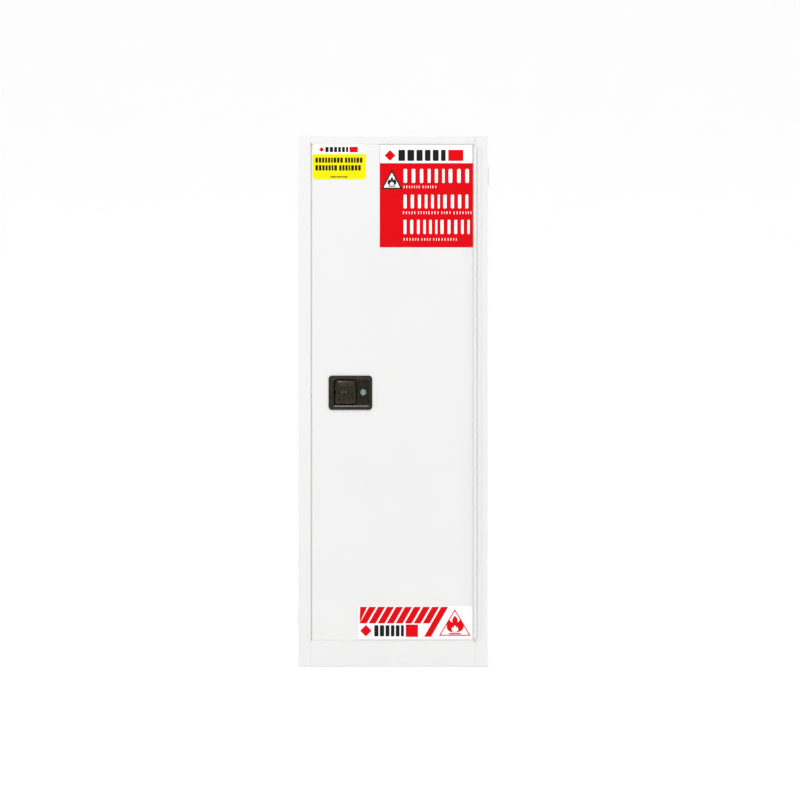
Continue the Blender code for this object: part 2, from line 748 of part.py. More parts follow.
def handle_housing():
    """A flanged tray let into the door's face, with a bearing for the paddle's pin."""
    plate_y = FRONT_Y - GAP - PLATE_THICK / 2
    outline = rounded(PLATE_X, PLATE_Z, *PLATE_SIZE, 11 * MM)
    housing = plate("handle_housing", outline, plate_y, PLATE_THICK, "black_coat")
    half = Vector((TRAY_SIZE[0] / 2 + TRAY_WALL, 0, TRAY_SIZE[1] / 2 + TRAY_WALL))
    low = Vector((TRAY_X, FRONT_Y - 2 * MM, TRAY_Z)) - half
    high = Vector((TRAY_X, TRAY_BACK_Y, TRAY_Z)) + half
    join(housing, box("tray_body", low, high))
    half = Vector((TRAY_SIZE[0] / 2, 0, TRAY_SIZE[1] / 2))
    low = Vector((TRAY_X, FRONT_Y - 10 * MM, TRAY_Z)) - half
    high = Vector((TRAY_X, TRAY_FLOOR_Y, TRAY_Z)) + half
    cut(housing, box("tray_recess", low, high))
    floor_y = (TRAY_FLOOR_Y - 3 * MM, TRAY_BACK_Y + 3 * MM)
    low = (PADDLE_PIN_X - 8 * MM, floor_y[0], LATCH_Z - 8 * MM)
    cut(housing, box("tongue_slot", low, (PADDLE_PIN_X + 8 * MM, floor_y[1], LATCH_Z + 8 * MM)))
    for name, x, z, radius in (
        ("spindle_hole", LATCH_X, LATCH_Z, 4.3 * MM),
        ("lock_hole", LOCK_X, LOCK_Z, 8.4 * MM),
    ):
        cut(housing, cylinder(name, (x, floor_y[0], z), (x, floor_y[1], z), radius, sides=20))
    cut(housing, paddle_pin_cutter("housing_pin_hole"))
    return housing


def paddle_pin_cutter(name):
    ends = (TRAY_Z - TRAY_SIZE[1] / 2 - 8 * MM, TRAY_Z + TRAY_SIZE[1] / 2 + 8 * MM)
    low, high = ((PADDLE_PIN_X, PADDLE_PIN_Y, z) for z in ends)
    return cylinder(name, low, high, 2.3 * MM, sides=12)


def paddle():
    """The pull plate, its hinge boss, the finger lip on its free edge and the tongue for the latch."""
    chamfer = 6 * MM
    (x0, x1), (z0, z1) = PADDLE_X, PADDLE_Z
    outline = [
        (x0 + chamfer, z0),
        (x1 - chamfer / 2, z0),
        (x1, z0 + chamfer / 2),
        (x1, z1 - chamfer / 2),
        (x1 - chamfer / 2, z1),
        (x0 + chamfer, z1),
        (x0, z1 - chamfer),
        (x0, z0 + chamfer),
    ]
    middle_y, thick = sum(PADDLE_Y) / 2, PADDLE_Y[1] - PADDLE_Y[0]
    pull = plate("paddle", outline, middle_y, thick, "black_coat")
    at = ((PADDLE_PIN_X, PADDLE_PIN_Y, z0 + 2 * MM), (PADDLE_PIN_X, PADDLE_PIN_Y, z1 - 2 * MM))
    boss = cylinder("paddle_boss", *at, 4.5 * MM, sides=16)
    low = (x1 - 3.5 * MM, PADDLE_Y[0] + 2 * MM, z0 + 8 * MM)
    lip = box("paddle_lip", low, (x1 - 1 * MM, PADDLE_Y[1] + 5 * MM, z1 - 8 * MM))
    tongue = box("paddle_tongue", (-1.5 * MM, 2.5 * MM, -6 * MM), (1.5 * MM, 24 * MM, 6 * MM))
    pin = Vector((PADDLE_PIN_X, PADDLE_PIN_Y, LATCH_Z))
    tongue.matrix_world = (
        Matrix.Translation(pin) @ Matrix.Rotation(HALF_PULL, 4, "Z") @ tongue.matrix_world
    )
    join(pull, boss, lip, tongue)
    cut(pull, paddle_pin_cutter("paddle_bore"))
    return pull


def paddle_pin():
    half = TRAY_SIZE[1] / 2 + TRAY_WALL - 0.2 * MM
    ends = (TRAY_Z - half, TRAY_Z + half)
    low, high = ((PADDLE_PIN_X, PADDLE_PIN_Y, z) for z in ends)
    return cylinder("paddle_pin", low, high, 2 * MM, "zinc_steel", 12)


def lock():
    """A lock barrel in the tray's floor, and the plug that turns in it with its cam behind the tray."""
    profile = [
        (0, 6.6 * MM),
        (0, 9.3 * MM),
        (1 * MM, 10.3 * MM),
        (11.7 * MM, 10.3 * MM),
        (11.7 * MM, 8 * MM),
        (15 * MM, 8 * MM),
        (15 * MM, 6.6 * MM),
    ]
    barrel = turned("lock_barrel", profile, (LOCK_X, LOCK_FACE_Y, LOCK_Z), Y, "lock_metal", 20)
    near = (LOCK_X, LOCK_FACE_Y - 0.6 * MM, LOCK_Z)
    far = (LOCK_X, TRAY_BACK_Y + 2 * MM, LOCK_Z)
    plug = cylinder("lock_plug", near, far, PLUG_R, "lock_metal", 20)
    cam_y = (TRAY_BACK_Y + 1.6 * MM, TRAY_BACK_Y + 4.6 * MM)
    low = (LOCK_X - PLUG_R, cam_y[0], LOCK_Z - 7 * MM)
    join(plug, box("lock_cam", low, (LOCK_X + PLUG_R, cam_y[1], LOCK_Z + 21 * MM)))
    half = Vector((1 * MM, 8 * MM, 3.6 * MM))
    keyhole = Vector((LOCK_X, LOCK_FACE_Y, LOCK_Z))
    cut(plug, box("keyway", keyhole - half, keyhole + half))
    return barrel, plug


# ---------------------------------------------------------------- three-point latch


def crank(angle_deg, y):
    """Where the rotor's crank pin at this angle stands with the latch thrown."""
    angle = math.radians(angle_deg) - HALF_PULL
    return Vector((LATCH_X + CRANK_R * math.cos(angle), y, LATCH_Z + CRANK_R * math.sin(angle)))


def slot(name, pin, across, y, depth=6 * MM):
    """A slot for a crank pin, long enough for the pin's arc. across is the slot's long direction."""
    sagitta = CRANK_R * (1 - math.cos(HALF_PULL))
    reach = CRANK_PIN_R + SLOT_PLAY
    half = Vector((reach, depth, reach)) + across * sagitta
    middle = Vector((pin.x, y, pin.z))
    return box(name, middle - half, middle + half)


def rotor():
    """A disc on a spindle, with one crank pin in front for the bolt and two behind for the rods."""
    front, back = ROTOR_Y
    near, far = (LATCH_X, front, LATCH_Z), (LATCH_X, back, LATCH_Z)
    disc = cylinder("latch_rotor", near, far, ROTOR_R, "zinc_steel")
    start = (LATCH_X, TRAY_FLOOR_Y + 0.5 * MM, LATCH_Z)
    spindle = cylinder("rotor_spindle", start, (LATCH_X, back - 1 * MM, LATCH_Z), 4 * MM, sides=16)
    below = cylinder(
        "rotor_pin_bolt",
        crank(270, BOLT_Y - 2.5 * MM),
        crank(270, back - 1 * MM),
        CRANK_PIN_R,
        sides=12,
    )
    ends = (front + 1 * MM, ROD_Y + 2.5 * MM)
    pins = [
        cylinder(name, *(crank(angle, y) for y in ends), CRANK_PIN_R, sides=12)
        for name, angle in (("rotor_pin_top", 180), ("rotor_pin_bottom", 0))
    ]
    join(disc, spindle, below, *pins)
    return disc


def centre_bolt():
    """A flat bar with a round bolt on its end, and slots for the tongue, spindle and crank pin."""
    left, right = BAR_X
    half, front, back = 11 * MM, BOLT_Y - BAR / 2, BOLT_Y + BAR / 2
    low, high = (left, front, LATCH_Z - half), (right, back, LATCH_Z + half)
    bar = box("centre_bolt", low, high, "zinc_steel")
    pin = crank(270, BOLT_Y)
    low = (pin.x - 14 * MM, front, LATCH_Z - 30 * MM)
    join(bar, box("bolt_lobe", low, (pin.x + 14 * MM, back, LATCH_Z - half + 1 * MM)))
    root = Vector((left + 8 * MM, BOLT_Y, LATCH_Z))
    tip = Vector((DOOR_X[0] - THROW, BOLT_Y, LATCH_Z))
    join(bar, bolt_bar("bolt_shank", root, tip, 5 * MM, 16))

    tongue_x = PADDLE_PIN_X - TRAVEL / 2
    half_window = Vector((2.7 * MM, 6 * MM, 7.5 * MM))
    middle = Vector((tongue_x, BOLT_Y, LATCH_Z))
    cut(bar, box("tongue_window", middle - half_window, middle + half_window))
    low = (LATCH_X - TRAVEL - 4.6 * MM, BOLT_Y - 6 * MM, LATCH_Z - 4.6 * MM)
    cut(bar, box("spindle_slot", low, (LATCH_X + 4.6 * MM, BOLT_Y + 6 * MM, LATCH_Z + 4.6 * MM)))
    cut(bar, slot("bolt_pin_slot", pin, Z, BOLT_Y))
    return bar


def rod(name, angle_deg, upwards, end_z):
    """A rod with a slotted eye on its crank pin. It slides in a hole in the door's edge."""
    pin = crank(angle_deg, ROD_Y)
    x = LATCH_X + math.copysign(ROD_OFFSET, pin.x - LATCH_X)
    eye = sorted((pin.z - upwards * 9 * MM, pin.z + upwards * 38 * MM))
    low, high = (x - 8 * MM, ROD_Y - BAR / 2, eye[0]), (x + 8 * MM, ROD_Y + BAR / 2, eye[1])
    made = box(name, low, high, "zinc_steel")
    start = Vector((x, ROD_Y, pin.z + upwards * 30 * MM))
    tip = Vector((x, ROD_Y, end_z + upwards * THROW))
    join(made, bolt_bar(name + "_shaft", start, tip, ROD_R, 12))
    cut(made, slot(name + "_slot", pin, X, ROD_Y))
    return made


# ---------------------------------------------------------------- assembly


def build_cabinet():
    outer_casing()
    front_frame()
    inner_liner()
    vents()
    earth_point()
    levelling_feet()
    shelf_standards()
    shelves()


def build_door():
    leaf = hinge()
    barrel, plug = lock()
    pin = paddle_pin()
    fixed = [*door_skins(), leaf, handle_housing(), barrel, pin, *labels()]
    latch_at = (LATCH_X, BOLT_Y, LATCH_Z)
    axes = [
        moving("paddle_axis", (PADDLE_PIN_X, PADDLE_PIN_Y, LATCH_Z), paddle()),
        moving("lock_axis", (LOCK_X, TRAY_FLOOR_Y, LOCK_Z), plug),
        moving("rotor_axis", latch_at, rotor()),
        moving("centre_bolt_axis", latch_at, centre_bolt()),
        moving("rod_top_axis", latch_at, rod("rod_top", 180, 1, DOOR_Z[1])),
        moving("rod_bottom_axis", latch_at, rod("rod_bottom", 0, -1, DOOR_Z[0])),
    ]
    moving("door_axis", (AXIS_X, AXIS_Y, 0), *fixed, *axes)


build_cabinet()
build_door()
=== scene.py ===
"""Looks for the slim-line flammable storage cabinet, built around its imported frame."""

import math

import bmesh
import bpy
from mathutils import Matrix, Vector


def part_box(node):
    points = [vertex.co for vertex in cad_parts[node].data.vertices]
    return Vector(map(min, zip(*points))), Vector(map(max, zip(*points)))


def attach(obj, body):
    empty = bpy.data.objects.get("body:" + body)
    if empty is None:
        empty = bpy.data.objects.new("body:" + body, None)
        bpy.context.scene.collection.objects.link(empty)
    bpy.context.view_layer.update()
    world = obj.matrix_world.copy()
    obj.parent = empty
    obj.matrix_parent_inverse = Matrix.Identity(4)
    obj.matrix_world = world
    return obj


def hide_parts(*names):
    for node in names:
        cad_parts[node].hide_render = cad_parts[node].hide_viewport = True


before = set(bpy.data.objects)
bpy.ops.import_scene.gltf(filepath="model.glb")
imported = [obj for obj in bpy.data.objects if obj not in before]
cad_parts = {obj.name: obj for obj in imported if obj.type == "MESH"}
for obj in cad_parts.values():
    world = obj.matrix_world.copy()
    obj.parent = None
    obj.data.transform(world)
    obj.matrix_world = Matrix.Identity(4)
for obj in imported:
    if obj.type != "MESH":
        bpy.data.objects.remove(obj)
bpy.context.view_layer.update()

MM = 0.001
X, Y, Z = Vector((1, 0, 0)), Vector((0, 1, 0)), Vector((0, 0, 1))

SHEET = 1.2 * MM
BEND = 1.0 * MM  # inner radius of a fold in sheet
ARC_STEPS = 5
SHARP, FLAT = math.radians(32), math.radians(1)  # edges over SHARP stay crisp, and under FLAT they go
WELD_DISTANCE = 1e-6


def place(node):
    """The lowest and highest corners of a CAD node, as two vectors."""
    low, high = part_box(node)
    return Vector(low), Vector(high)


def middle(node):
    low, high = place(node)
    return (low + high) / 2


def in_mm(node):
    """A CAD node's lowest and highest x, y and z, in that order and in millimetres."""
    low, high = place(node)
    return [value / MM for pair in zip(low, high) for value in pair]


def added(name, data):
    """A new object in the scene."""
    obj = bpy.data.objects.new(name, data)
    bpy.context.scene.collection.objects.link(obj)
    return obj


# -------- materials

NOISE_LOW, NOISE_HIGH = 0.3, 0.7  # most of a noise's values lie between these


def fill(node, **inputs):
    """Sets a shader node's inputs. In their names, _ stands for a space."""
    for name, value in inputs.items():
        node.inputs[name.replace("_", " ")].default_value = value
    return node


class Shader:
    """A Principled material whose textures use the piece's own coordinates, in metres."""

    def __init__(self, name, colour, roughness, metallic=0.0, coat=0.0, shine=0.5):
        self.material = bpy.data.materials.new(name)
        self.material.use_nodes = True
        self.tree = self.material.node_tree
        self.bsdf = self.tree.nodes["Principled BSDF"]
        fill(self.bsdf, Base_Color=(*colour, 1), Roughness=roughness, Metallic=metallic)
        fill(self.bsdf, Coat_Weight=coat, Specular_IOR_Level=shine)
        self.colour = colour
        self.roughness = roughness
        self.coordinates = self.node("TexCoord").outputs["Object"]

    def node(self, kind, **inputs):
        return fill(self.tree.nodes.new("ShaderNode" + kind), **inputs)

    def link(self, start, end):
        self.tree.links.new(start, end)

    def placed(self, kind, output, vector=None, **inputs):
        """An output of a node that reads the piece's coordinates, or another vector."""
        made = self.node(kind, **inputs)
        self.link(vector or self.coordinates, made.inputs["Vector"])
        return made.outputs[output]

    def noise(self, scale, detail=2.0, vector=None):
        return self.placed("TexNoise", "Fac", vector, Scale=scale, Detail=detail)

    def ramp(self, value, low, high):
        """A colour between low and high, as a noise's value rises."""
        made = self.node("ValToRGB")
        first, last = made.color_ramp.elements
        first.position, last.position = NOISE_LOW, NOISE_HIGH
        first.color, last.color = (*low, 1), (*high, 1)
        self.link(value, made.inputs["Fac"])
        return made.outputs["Color"]

    def spread(self, value, low, high):
        made = self.node("MapRange", From_Min=NOISE_LOW, From_Max=NOISE_HIGH)
        fill(made, To_Min=low, To_Max=high)
        self.link(value, made.inputs["Value"])
        return made.outputs["Result"]

    def mottle(self, value, amount):
        """Varies the colour by a share of itself, as value varies."""
        low = [c * (1 - amount) for c in self.colour]
        high = [min(1.0, c * (1 + amount)) for c in self.colour]
        self.link(self.ramp(value, low, high), self.bsdf.inputs["Base Color"])
        return self

    def vary_gloss(self, value, amount):
        result = self.spread(value, self.roughness - amount, self.roughness + amount)
        self.link(result, self.bsdf.inputs["Roughness"])
        return self

    def bump(self, value, height, strength=1.0, under=None):
        made = self.node("Bump", Strength=strength, Distance=height)
        self.link(value, made.inputs["Height"])
        if under:
            self.link(under, made.inputs["Normal"])
        self.link(made.outputs["Normal"], self.bsdf.inputs["Normal"])
        return made.outputs["Normal"]


def powder_coat(name, colour, roughness=0.4):
    """Baked powder paint: an orange-peel skin over very slow waves in tone and gloss."""
    shader = Shader(name, colour, roughness, coat=0.05)
    slow = shader.noise(2.2, 3.0)
    shader.mottle(slow, 0.012).vary_gloss(shader.noise(7.0), 0.04)
    waves = shader.bump(shader.noise(140.0, 1.0), 0.00012, 0.35)
    shader.bump(shader.noise(620.0, 2.0), 0.00006, 0.5, waves)
    return shader.material


def black_coat(name, colour, roughness):
    """Dark coating on a casting, slightly cloudy, with a fine grain."""
    shader = Shader(name, colour, roughness, shine=0.36)
    shader.mottle(shader.noise(45.0, 4.0), 0.45).vary_gloss(shader.noise(90.0, 3.0), 0.05)
    shader.bump(shader.noise(1400.0, 2.0), 0.00002, 0.35)
    return shader.material


def plated(name, colour, roughness, grain):
    """Plated steel with fine drawn lines along one direction."""
    shader = Shader(name, colour, roughness, metallic=1.0)
    lines = shader.noise(1.0, 3.0, shader.placed("Mapping", "Vector", Scale=grain))
    shader.mottle(shader.noise(35.0, 3.0), 0.10).vary_gloss(lines, 0.08)
    shader.bump(lines, 0.00002, 0.5)
    return shader.material


def galvanised(name):
    """Zinc-coated sheet with its crystal spangle."""
    shader = Shader(name, (0.60, 0.61, 0.62), 0.40, metallic=0.9)
    spangle = shader.node("SeparateColor")
    shader.link(shader.placed("TexVoronoi", "Color", Scale=95.0), spangle.inputs["Color"])
    shader.mottle(spangle.outputs["Red"], 0.09)
    shader.vary_gloss(spangle.outputs["Green"], 0.06)
    shader.bump(shader.noise(300.0, 3.0), 0.00004, 0.4)
    return shader.material


def rubber(name, colour, cloud=0.05):
    """Matt elastomer with a slightly cloudy tone."""
    shader = Shader(name, colour, 0.75)
    shader.mottle(shader.noise(60.0, 4.0), cloud).vary_gloss(shader.noise(120.0), 0.08)
    shader.bump(shader.noise(900.0, 3.0), 0.0001, 0.6)
    return shader.material


def vinyl(name, colour):
    """Printed film, stuck down by hand: faint unevenness and a soft gloss."""
    shader = Shader(name, colour, 0.42, shine=0.1)
    shader.mottle(shader.noise(18.0, 3.0), 0.03).vary_gloss(shader.noise(30.0), 0.05)
    shader.bump(shader.noise(60.0, 2.0), 0.00008, 0.4)
    return shader.material


# A finish is a material and the record's slot that it belongs to.
WHITE = powder_coat("white_powder_coat", (0.79, 0.79, 0.788)), "white_paint"
INSIDE = powder_coat("inside_powder_coat", (0.77, 0.77, 0.768), 0.46), "white_paint"
SEAL = rubber("pale_seal", (0.80, 0.80, 0.795), 0.02), "white_paint"
WELD = powder_coat("painted_weld", (0.76, 0.76, 0.758), 0.5), "white_paint"
BLACK = black_coat("black_casting", (0.015, 0.0125, 0.003), 0.21), "black_coat"
# Lighter black for the bevelled edges of the handle parts: partly rubbed wear, partly a painted highlight
# that stands in for light caught along the edges.
BLACK_EDGE_WEAR_AND_HIGHLIGHT = black_coat("rubbed_and_highlit_black_edge", (0.045, 0.042, 0.034), 0.25)
DARK_METAL = plated("dark_steel", (0.06, 0.056, 0.05), 0.34, (300, 300, 300)), "zinc_steel"
BROWNED = plated("browned_steel", (0.17, 0.155, 0.145), 0.30, (300, 300, 300)), "lock_metal"
NICKEL = plated("satin_nickel", (0.38, 0.49, 0.47), 0.30, (900, 30, 900)), "lock_metal"
ZINC = plated("bright_zinc", (0.66, 0.65, 0.61), 0.33, (25, 600, 600)), "zinc_steel"
GALVANISED = galvanised("galvanised_sheet"), "galvanised"
RUBBER = rubber("moulded_rubber", (0.035, 0.035, 0.036), 0.25), "foot_rubber"
PRINT_YELLOW = vinyl("vinyl_yellow", (0.88, 0.79, 0.0)), "label_yellow"
PRINT_RED = vinyl("vinyl_red", (0.70, 0.0, 0.004)), "label_red"
PRINT_WHITE = vinyl("vinyl_white", (0.93, 0.93, 0.93)), "label_white"
# These two are printed on every label, so they take the slot of the one they are on.
PRINT_BLACK = vinyl("vinyl_black", (0.012, 0.012, 0.012)), ""
PRINT_GREY = vinyl("vinyl_grey", (0.36, 0.36, 0.37)), ""


# -------- shapes


def shape(name, bm):
    """An object from a bmesh, with its faces turned out."""
    bmesh.ops.recalc_face_normals(bm, faces=bm.faces)
    mesh = bpy.data.meshes.new(name)
    bm.to_mesh(mesh)
    bm.free()
    return added(name, mesh)


def bridge(bm, rings, closed_end=True, looped=False):
    """Skins rings of points, and closes the two ends or joins them to each other."""
    made = [[bm.verts.new(point) for point in ring] for ring in rings]
    pairs = list(zip(made, made[1:]))
    if looped:
        pairs.append((made[-1], made[0]))
    for one, other in pairs:
        count = len(one)
        for i in range(count):
            j = (i + 1) % count
            bm.faces.new((one[i], one[j], other[j], other[i]))
    if closed_end and not looped:
        bm.faces.new(made[0])
        bm.faces.new(made[-1])
    return made


def boxes(name, *corners):
    """Boxes in one object, each from its lowest and highest corners."""
    bm = bmesh.new()
    for (x0, y0, z0), (x1, y1, z1) in corners:
        flats = ((x0, y0), (x1, y0), (x1, y1), (x0, y1))
        bridge(bm, [[(x, y, z) for x, y in flats] for z in (z0, z1)])
    return shape(name, bm)


def lofted(name, rings, **how):
    bm = bmesh.new()
    bridge(bm, rings, **how)
    return shape(name, bm)


def turned(name, profile, start, along, looped=False, steps=40):
    """A turned shape from (distance along the axis, radius) pairs in millimetres."""
    start, facing = Vector(start), Z.rotation_difference(along).to_matrix()
    angles = [math.tau * step / steps for step in range(steps)]
    ways = [Vector((math.cos(angle), math.sin(angle), 0)) for angle in angles]
    rings = []
    for height, radius in profile:
        rings.append([start + facing @ (way * radius + Z * height) * MM for way in ways])
    return lofted(name, rings, looped=looped)


def fold_line(path, sheet, side, bend=BEND):
    """The middle of a folded sheet and its direction across, along a path of 2D points with round bends.

    The path runs along one face of the sheet. side is 1 if the sheet is on the path's left, and -1 if
    it is on its right.
    """
    points = [Vector(p) for p in path]
    ways = [(b - a).normalized() for a, b in zip(points, points[1:])]
    lefts = [Vector((-w.y, w.x)) for w in ways]
    radius = bend + sheet / 2
    line = [(points[0] + lefts[0] * side * sheet / 2, lefts[0])]
    for i in range(1, len(ways)):
        turn = ways[i - 1].angle_signed(ways[i])  # positive is clockwise
        hand = -1 if turn > 0 else 1
        half = abs(turn) / 2
        across = (lefts[i - 1] + lefts[i]).normalized()
        corner = points[i] + across * side * sheet / 2 / math.cos(half)
        begin = corner - ways[i - 1] * radius * math.tan(half)
        centre = begin + lefts[i - 1] * hand * radius
        for step in range(ARC_STEPS + 1):
            angle = hand * abs(turn) * step / ARC_STEPS
            spin = Matrix.Rotation(angle, 2)
            line.append((centre + spin @ (begin - centre), spin @ lefts[i - 1]))
    line.append((points[-1] + lefts[-1] * side * sheet / 2, lefts[-1]))
    return line


def strip(bm, line, sheet, axis, span):
    """Adds a sheet section that follows line, run along an axis over a span."""
    outline = [point + left * sheet / 2 for point, left in line]
    outline += [point - left * sheet / 2 for point, left in reversed(line)]
    rings = [[(*flat[:axis], end, *flat[axis:]) for flat in outline] for end in span]
    made = bridge(bm, rings, closed_end=False)
    count, half = len(made[0]), len(line)
    for ring in made:
        for i in range(half - 1):
            bm.faces.new((ring[i], ring[i + 1], ring[count - 2 - i], ring[count - 1 - i]))


def folded(name, path, axis, span, side, sheet=SHEET, bend=BEND):
    bm = bmesh.new()
    strip(bm, fold_line(path, sheet, side, bend), sheet, "XYZ".index(axis), span)
    return shape(name, bm)


def arc(u, v, radius, start, turn, steps):
    """Points in 2D on an arc round (u, v). Its angles are quarters of a turn."""
    angles = [math.pi / 2 * (start + turn * step / steps) for step in range(steps + 1)]
    return [(u + radius * math.cos(angle), v + radius * math.sin(angle)) for angle in angles]


def rect(x0, x1, z0, z1, radius=0.0, steps=0):
    """A rectangle in 2D, with round corners if steps isn't 0."""
    a0, a1, b0, b1 = x0 + radius, x1 - radius, z0 + radius, z1 - radius
    corners = ((a1, b1), (a0, b1), (a0, b0), (a1, b0))
    if not steps:
        return list(corners)
    return [p for i, (u, v) in enumerate(corners) for p in arc(u, v, radius, i, 1, steps)]


def pan(name, low, high, opens, bend=BEND):
    """A folded tray with mitred corners. opens says where it is open, such as '+Z'."""
    axis = "XYZ".index(opens[1])
    sign = 1 if opens[0] == "+" else -1
    a, b = (i for i in range(3) if i != axis)
    depth = high[axis] - low[axis]
    face = low[axis] if sign > 0 else high[axis]
    outer = bend + SHEET

    def ring(inset, height):
        a0, a1, b0, b1 = low[a] + inset, high[a] - inset, low[b] + inset, high[b] - inset
        flats = ((a0, b0), (a1, b0), (a1, b1), (a0, b1))
        return [(*flat[:axis], face + sign * height, *flat[axis:]) for flat in flats]

    outside = [(0.0, depth), *arc(outer, outer, outer, 2, 1, ARC_STEPS)]
    inside = [*arc(outer, outer, bend, 3, -1, ARC_STEPS), (SHEET, depth)]
    bm = bmesh.new()
    outside = bridge(bm, [ring(*point) for point in outside], closed_end=False)
    inside = bridge(bm, [ring(*point) for point in inside], closed_end=False)
    bm.faces.new(outside[-1])
    bm.faces.new(inside[0])
    for i in range(4):
        j = (i + 1) % 4
        bm.faces.new((outside[0][i], outside[0][j], inside[-1][j], inside[-1][i]))
    return shape(name, bm)


def prism(bm, outline, front, back):
    """Adds a plate in the door's plane from an outline of (x, z) points."""
    rings = [[(x, y, z) for x, z in outline] for y in (front, back)]
    caps = [bm.faces.new(ring) for ring in bridge(bm, rings, closed_end=False)]
    bmesh.ops.triangulate(bm, faces=caps)


def carve(obj, *cutters, operation="DIFFERENCE"):
    """Cuts other shapes out of one, or joins them to it, for good."""
    for cutter in cutters:
        boolean = obj.modifiers.new("carve", "BOOLEAN")
        boolean.operation = operation
        boolean.object = cutter
    graph = bpy.context.evaluated_depsgraph_get()
    old = obj.data
    obj.data = bpy.data.meshes.new_from_object(obj.evaluated_get(graph))
    obj.modifiers.clear()
    bpy.data.meshes.remove(old)
    for cutter in cutters:
        bpy.data.meshes.remove(cutter.data)
    return obj


def rod_cutter(start, end, radius, steps=32):
    """A round cutter between two points."""
    start, radius = Vector(start), radius / MM
    along = Vector(end) - start
    profile = [(0, radius), (along.length / MM, radius)]
    return turned("cutter", profile, start, along, steps=steps)


def drill(at, along, reach, radius, steps=32):
    """A round cutter that reaches as far in front of a point as behind it."""
    at, along = Vector(at), along * reach
    return rod_cutter(at - along, at + along, radius, steps)


def cube(at, *half):
    """A box-shaped cutter round a point, from its half sizes in millimetres."""
    half = Vector(half) * MM
    return boxes("cutter", (at - half, at + half))


def dress(obj, body, finish, node="", bevel=0.0, segments=2, edge=None):
    """Gives a shape its finish, its body and the CAD node that it stands for.

    bevel is the width of its softened edges in millimetres, and edge is a second material for them.
    """
    material, slot = finish
    mesh = obj.data
    mesh.materials.clear()
    mesh.materials.append(material)
    mesh.shade_smooth()
    mesh.set_sharp_from_angle(angle=SHARP)
    if bevel:
        soft = obj.modifiers.new("soft_edges", "BEVEL")
        soft.width = bevel * MM
        soft.segments = segments
        soft.limit_method = "ANGLE"
        soft.angle_limit = SHARP
        # The edge material goes on the bevels. The lighter black one paints highlights along the handle's
        # edges as well as wear.
        if edge:
            mesh.materials.append(edge)
            soft.material = 1
    weigh = obj.modifiers.new("flat_faces_stay_flat", "WEIGHTED_NORMAL")
    weigh.keep_sharp = True
    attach(obj, body)
    if node:
        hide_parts(node)


def softened(node, body, finish, bevel):
    """A copy of a CAD node whose flat facets are whole again and whose edges are softened."""
    bm = bmesh.new()
    bm.from_mesh(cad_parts[node].data)
    bmesh.ops.remove_doubles(bm, verts=bm.verts, dist=WELD_DISTANCE)
    bmesh.ops.dissolve_limit(bm, angle_limit=FLAT, verts=bm.verts, edges=bm.edges, delimit=set())
    dress(shape(node + "_finish", bm), body, finish, node, bevel)


# -------- facts read from the frame

SIDES = ((-1, "left"), (1, "right"))
CORNERS = [(end, hand) for end in ("front", "rear") for hand in ("left", "right")]

LEFT_STILE, HEAD, SILL = place("frame_stile_left"), place("frame_head"), place("frame_sill")
FRONT = LEFT_STILE[0].y
OUTER_X = -LEFT_STILE[0].x
OPENING_X = HEAD[1].x + 0.3 * MM
STOP_X = -LEFT_STILE[1].x
STOP_FLANGE = 18 * MM  # how far the frame's stop reaches into the opening
HEAD_Z, SILL_Z = HEAD[0].z + STOP_FLANGE, SILL[1].z - STOP_FLANGE
DOOR = place("door_outer_skin")
ROD_TOP, ROD_BOTTOM = middle("rod_top"), middle("rod_bottom")
LATCH, BOLT_Y = middle("latch_rotor"), middle("centre_bolt").y
VENT_HOLE, EARTH_HOLE, FOOT_HOLE, STRIKE_HOLE = 30.8 * MM, 4.6 * MM, 5.8 * MM, 7 * MM  # radii


# -------- body


def outer_panels():
    for (side, hand), level in zip(SIDES, ("low", "high")):
        node = "outer_side_" + hand
        low, high = place(node)
        x = side * OUTER_X
        tip = x - side * (high.x - low.x)
        path = [(tip, high.y), (x, high.y), (x, low.y), (tip, low.y)]
        panel = folded(node + "_finish", path, "Z", (low.z, high.z), -side)
        at = middle("vent_collar_" + level)
        cutters = [drill((x, at.y, at.z), X, 6 * MM, VENT_HOLE, 64)]
        if side < 0:
            at = middle("earth_stud")
            cutters.append(drill((x, at.y, at.z), X, 6 * MM, EARTH_HOLE))
        carve(panel, *cutters)
        dress(panel, "cabinet", WHITE, node)
    for node in ("outer_top", "outer_back"):
        softened(node, "cabinet", WHITE, 0.5)
    floor = pan("outer_floor_finish", *place("outer_floor"), "+Z")
    feet_at = [middle(f"foot_{end}_{hand}") for end, hand in CORNERS]
    carve(floor, *[drill((at.x, at.y, 8 * MM), Z, 8 * MM, FOOT_HOLE) for at in feet_at])
    dress(floor, "cabinet", WHITE, "outer_floor")


def seams():
    """Filled and painted seams between the outer panels, set a little back from the faces."""
    back, side, top = place("outer_back"), place("outer_side_left"), place("outer_top")
    inset, over, deep = 0.25 * MM, 0.1 * MM, 1.0 * MM
    x, front, rear = OUTER_X - inset, FRONT + inset, back[1].y - inset
    low, high = side[1].z - over, top[0].z + over
    corners = [
        ((-x, front, low), (x, front + deep, high)),
        ((-x, rear - deep, low), (x, rear, high)),
        ((-x, front, low), (-x + deep, rear, high)),
        ((x - deep, front, low), (x, rear, high)),
    ]
    for hand in (-1, 1):
        x0, x1 = sorted((hand * x, hand * (x - deep)))
        for y0, y1 in ((FRONT + SHEET, side[0].y), (side[1].y, back[0].y)):
            corners.append(((x0, y0 - over, side[0].z), (x1, y1 + over, low)))
    dress(boxes("filled_seams", *corners), "cabinet", WELD)


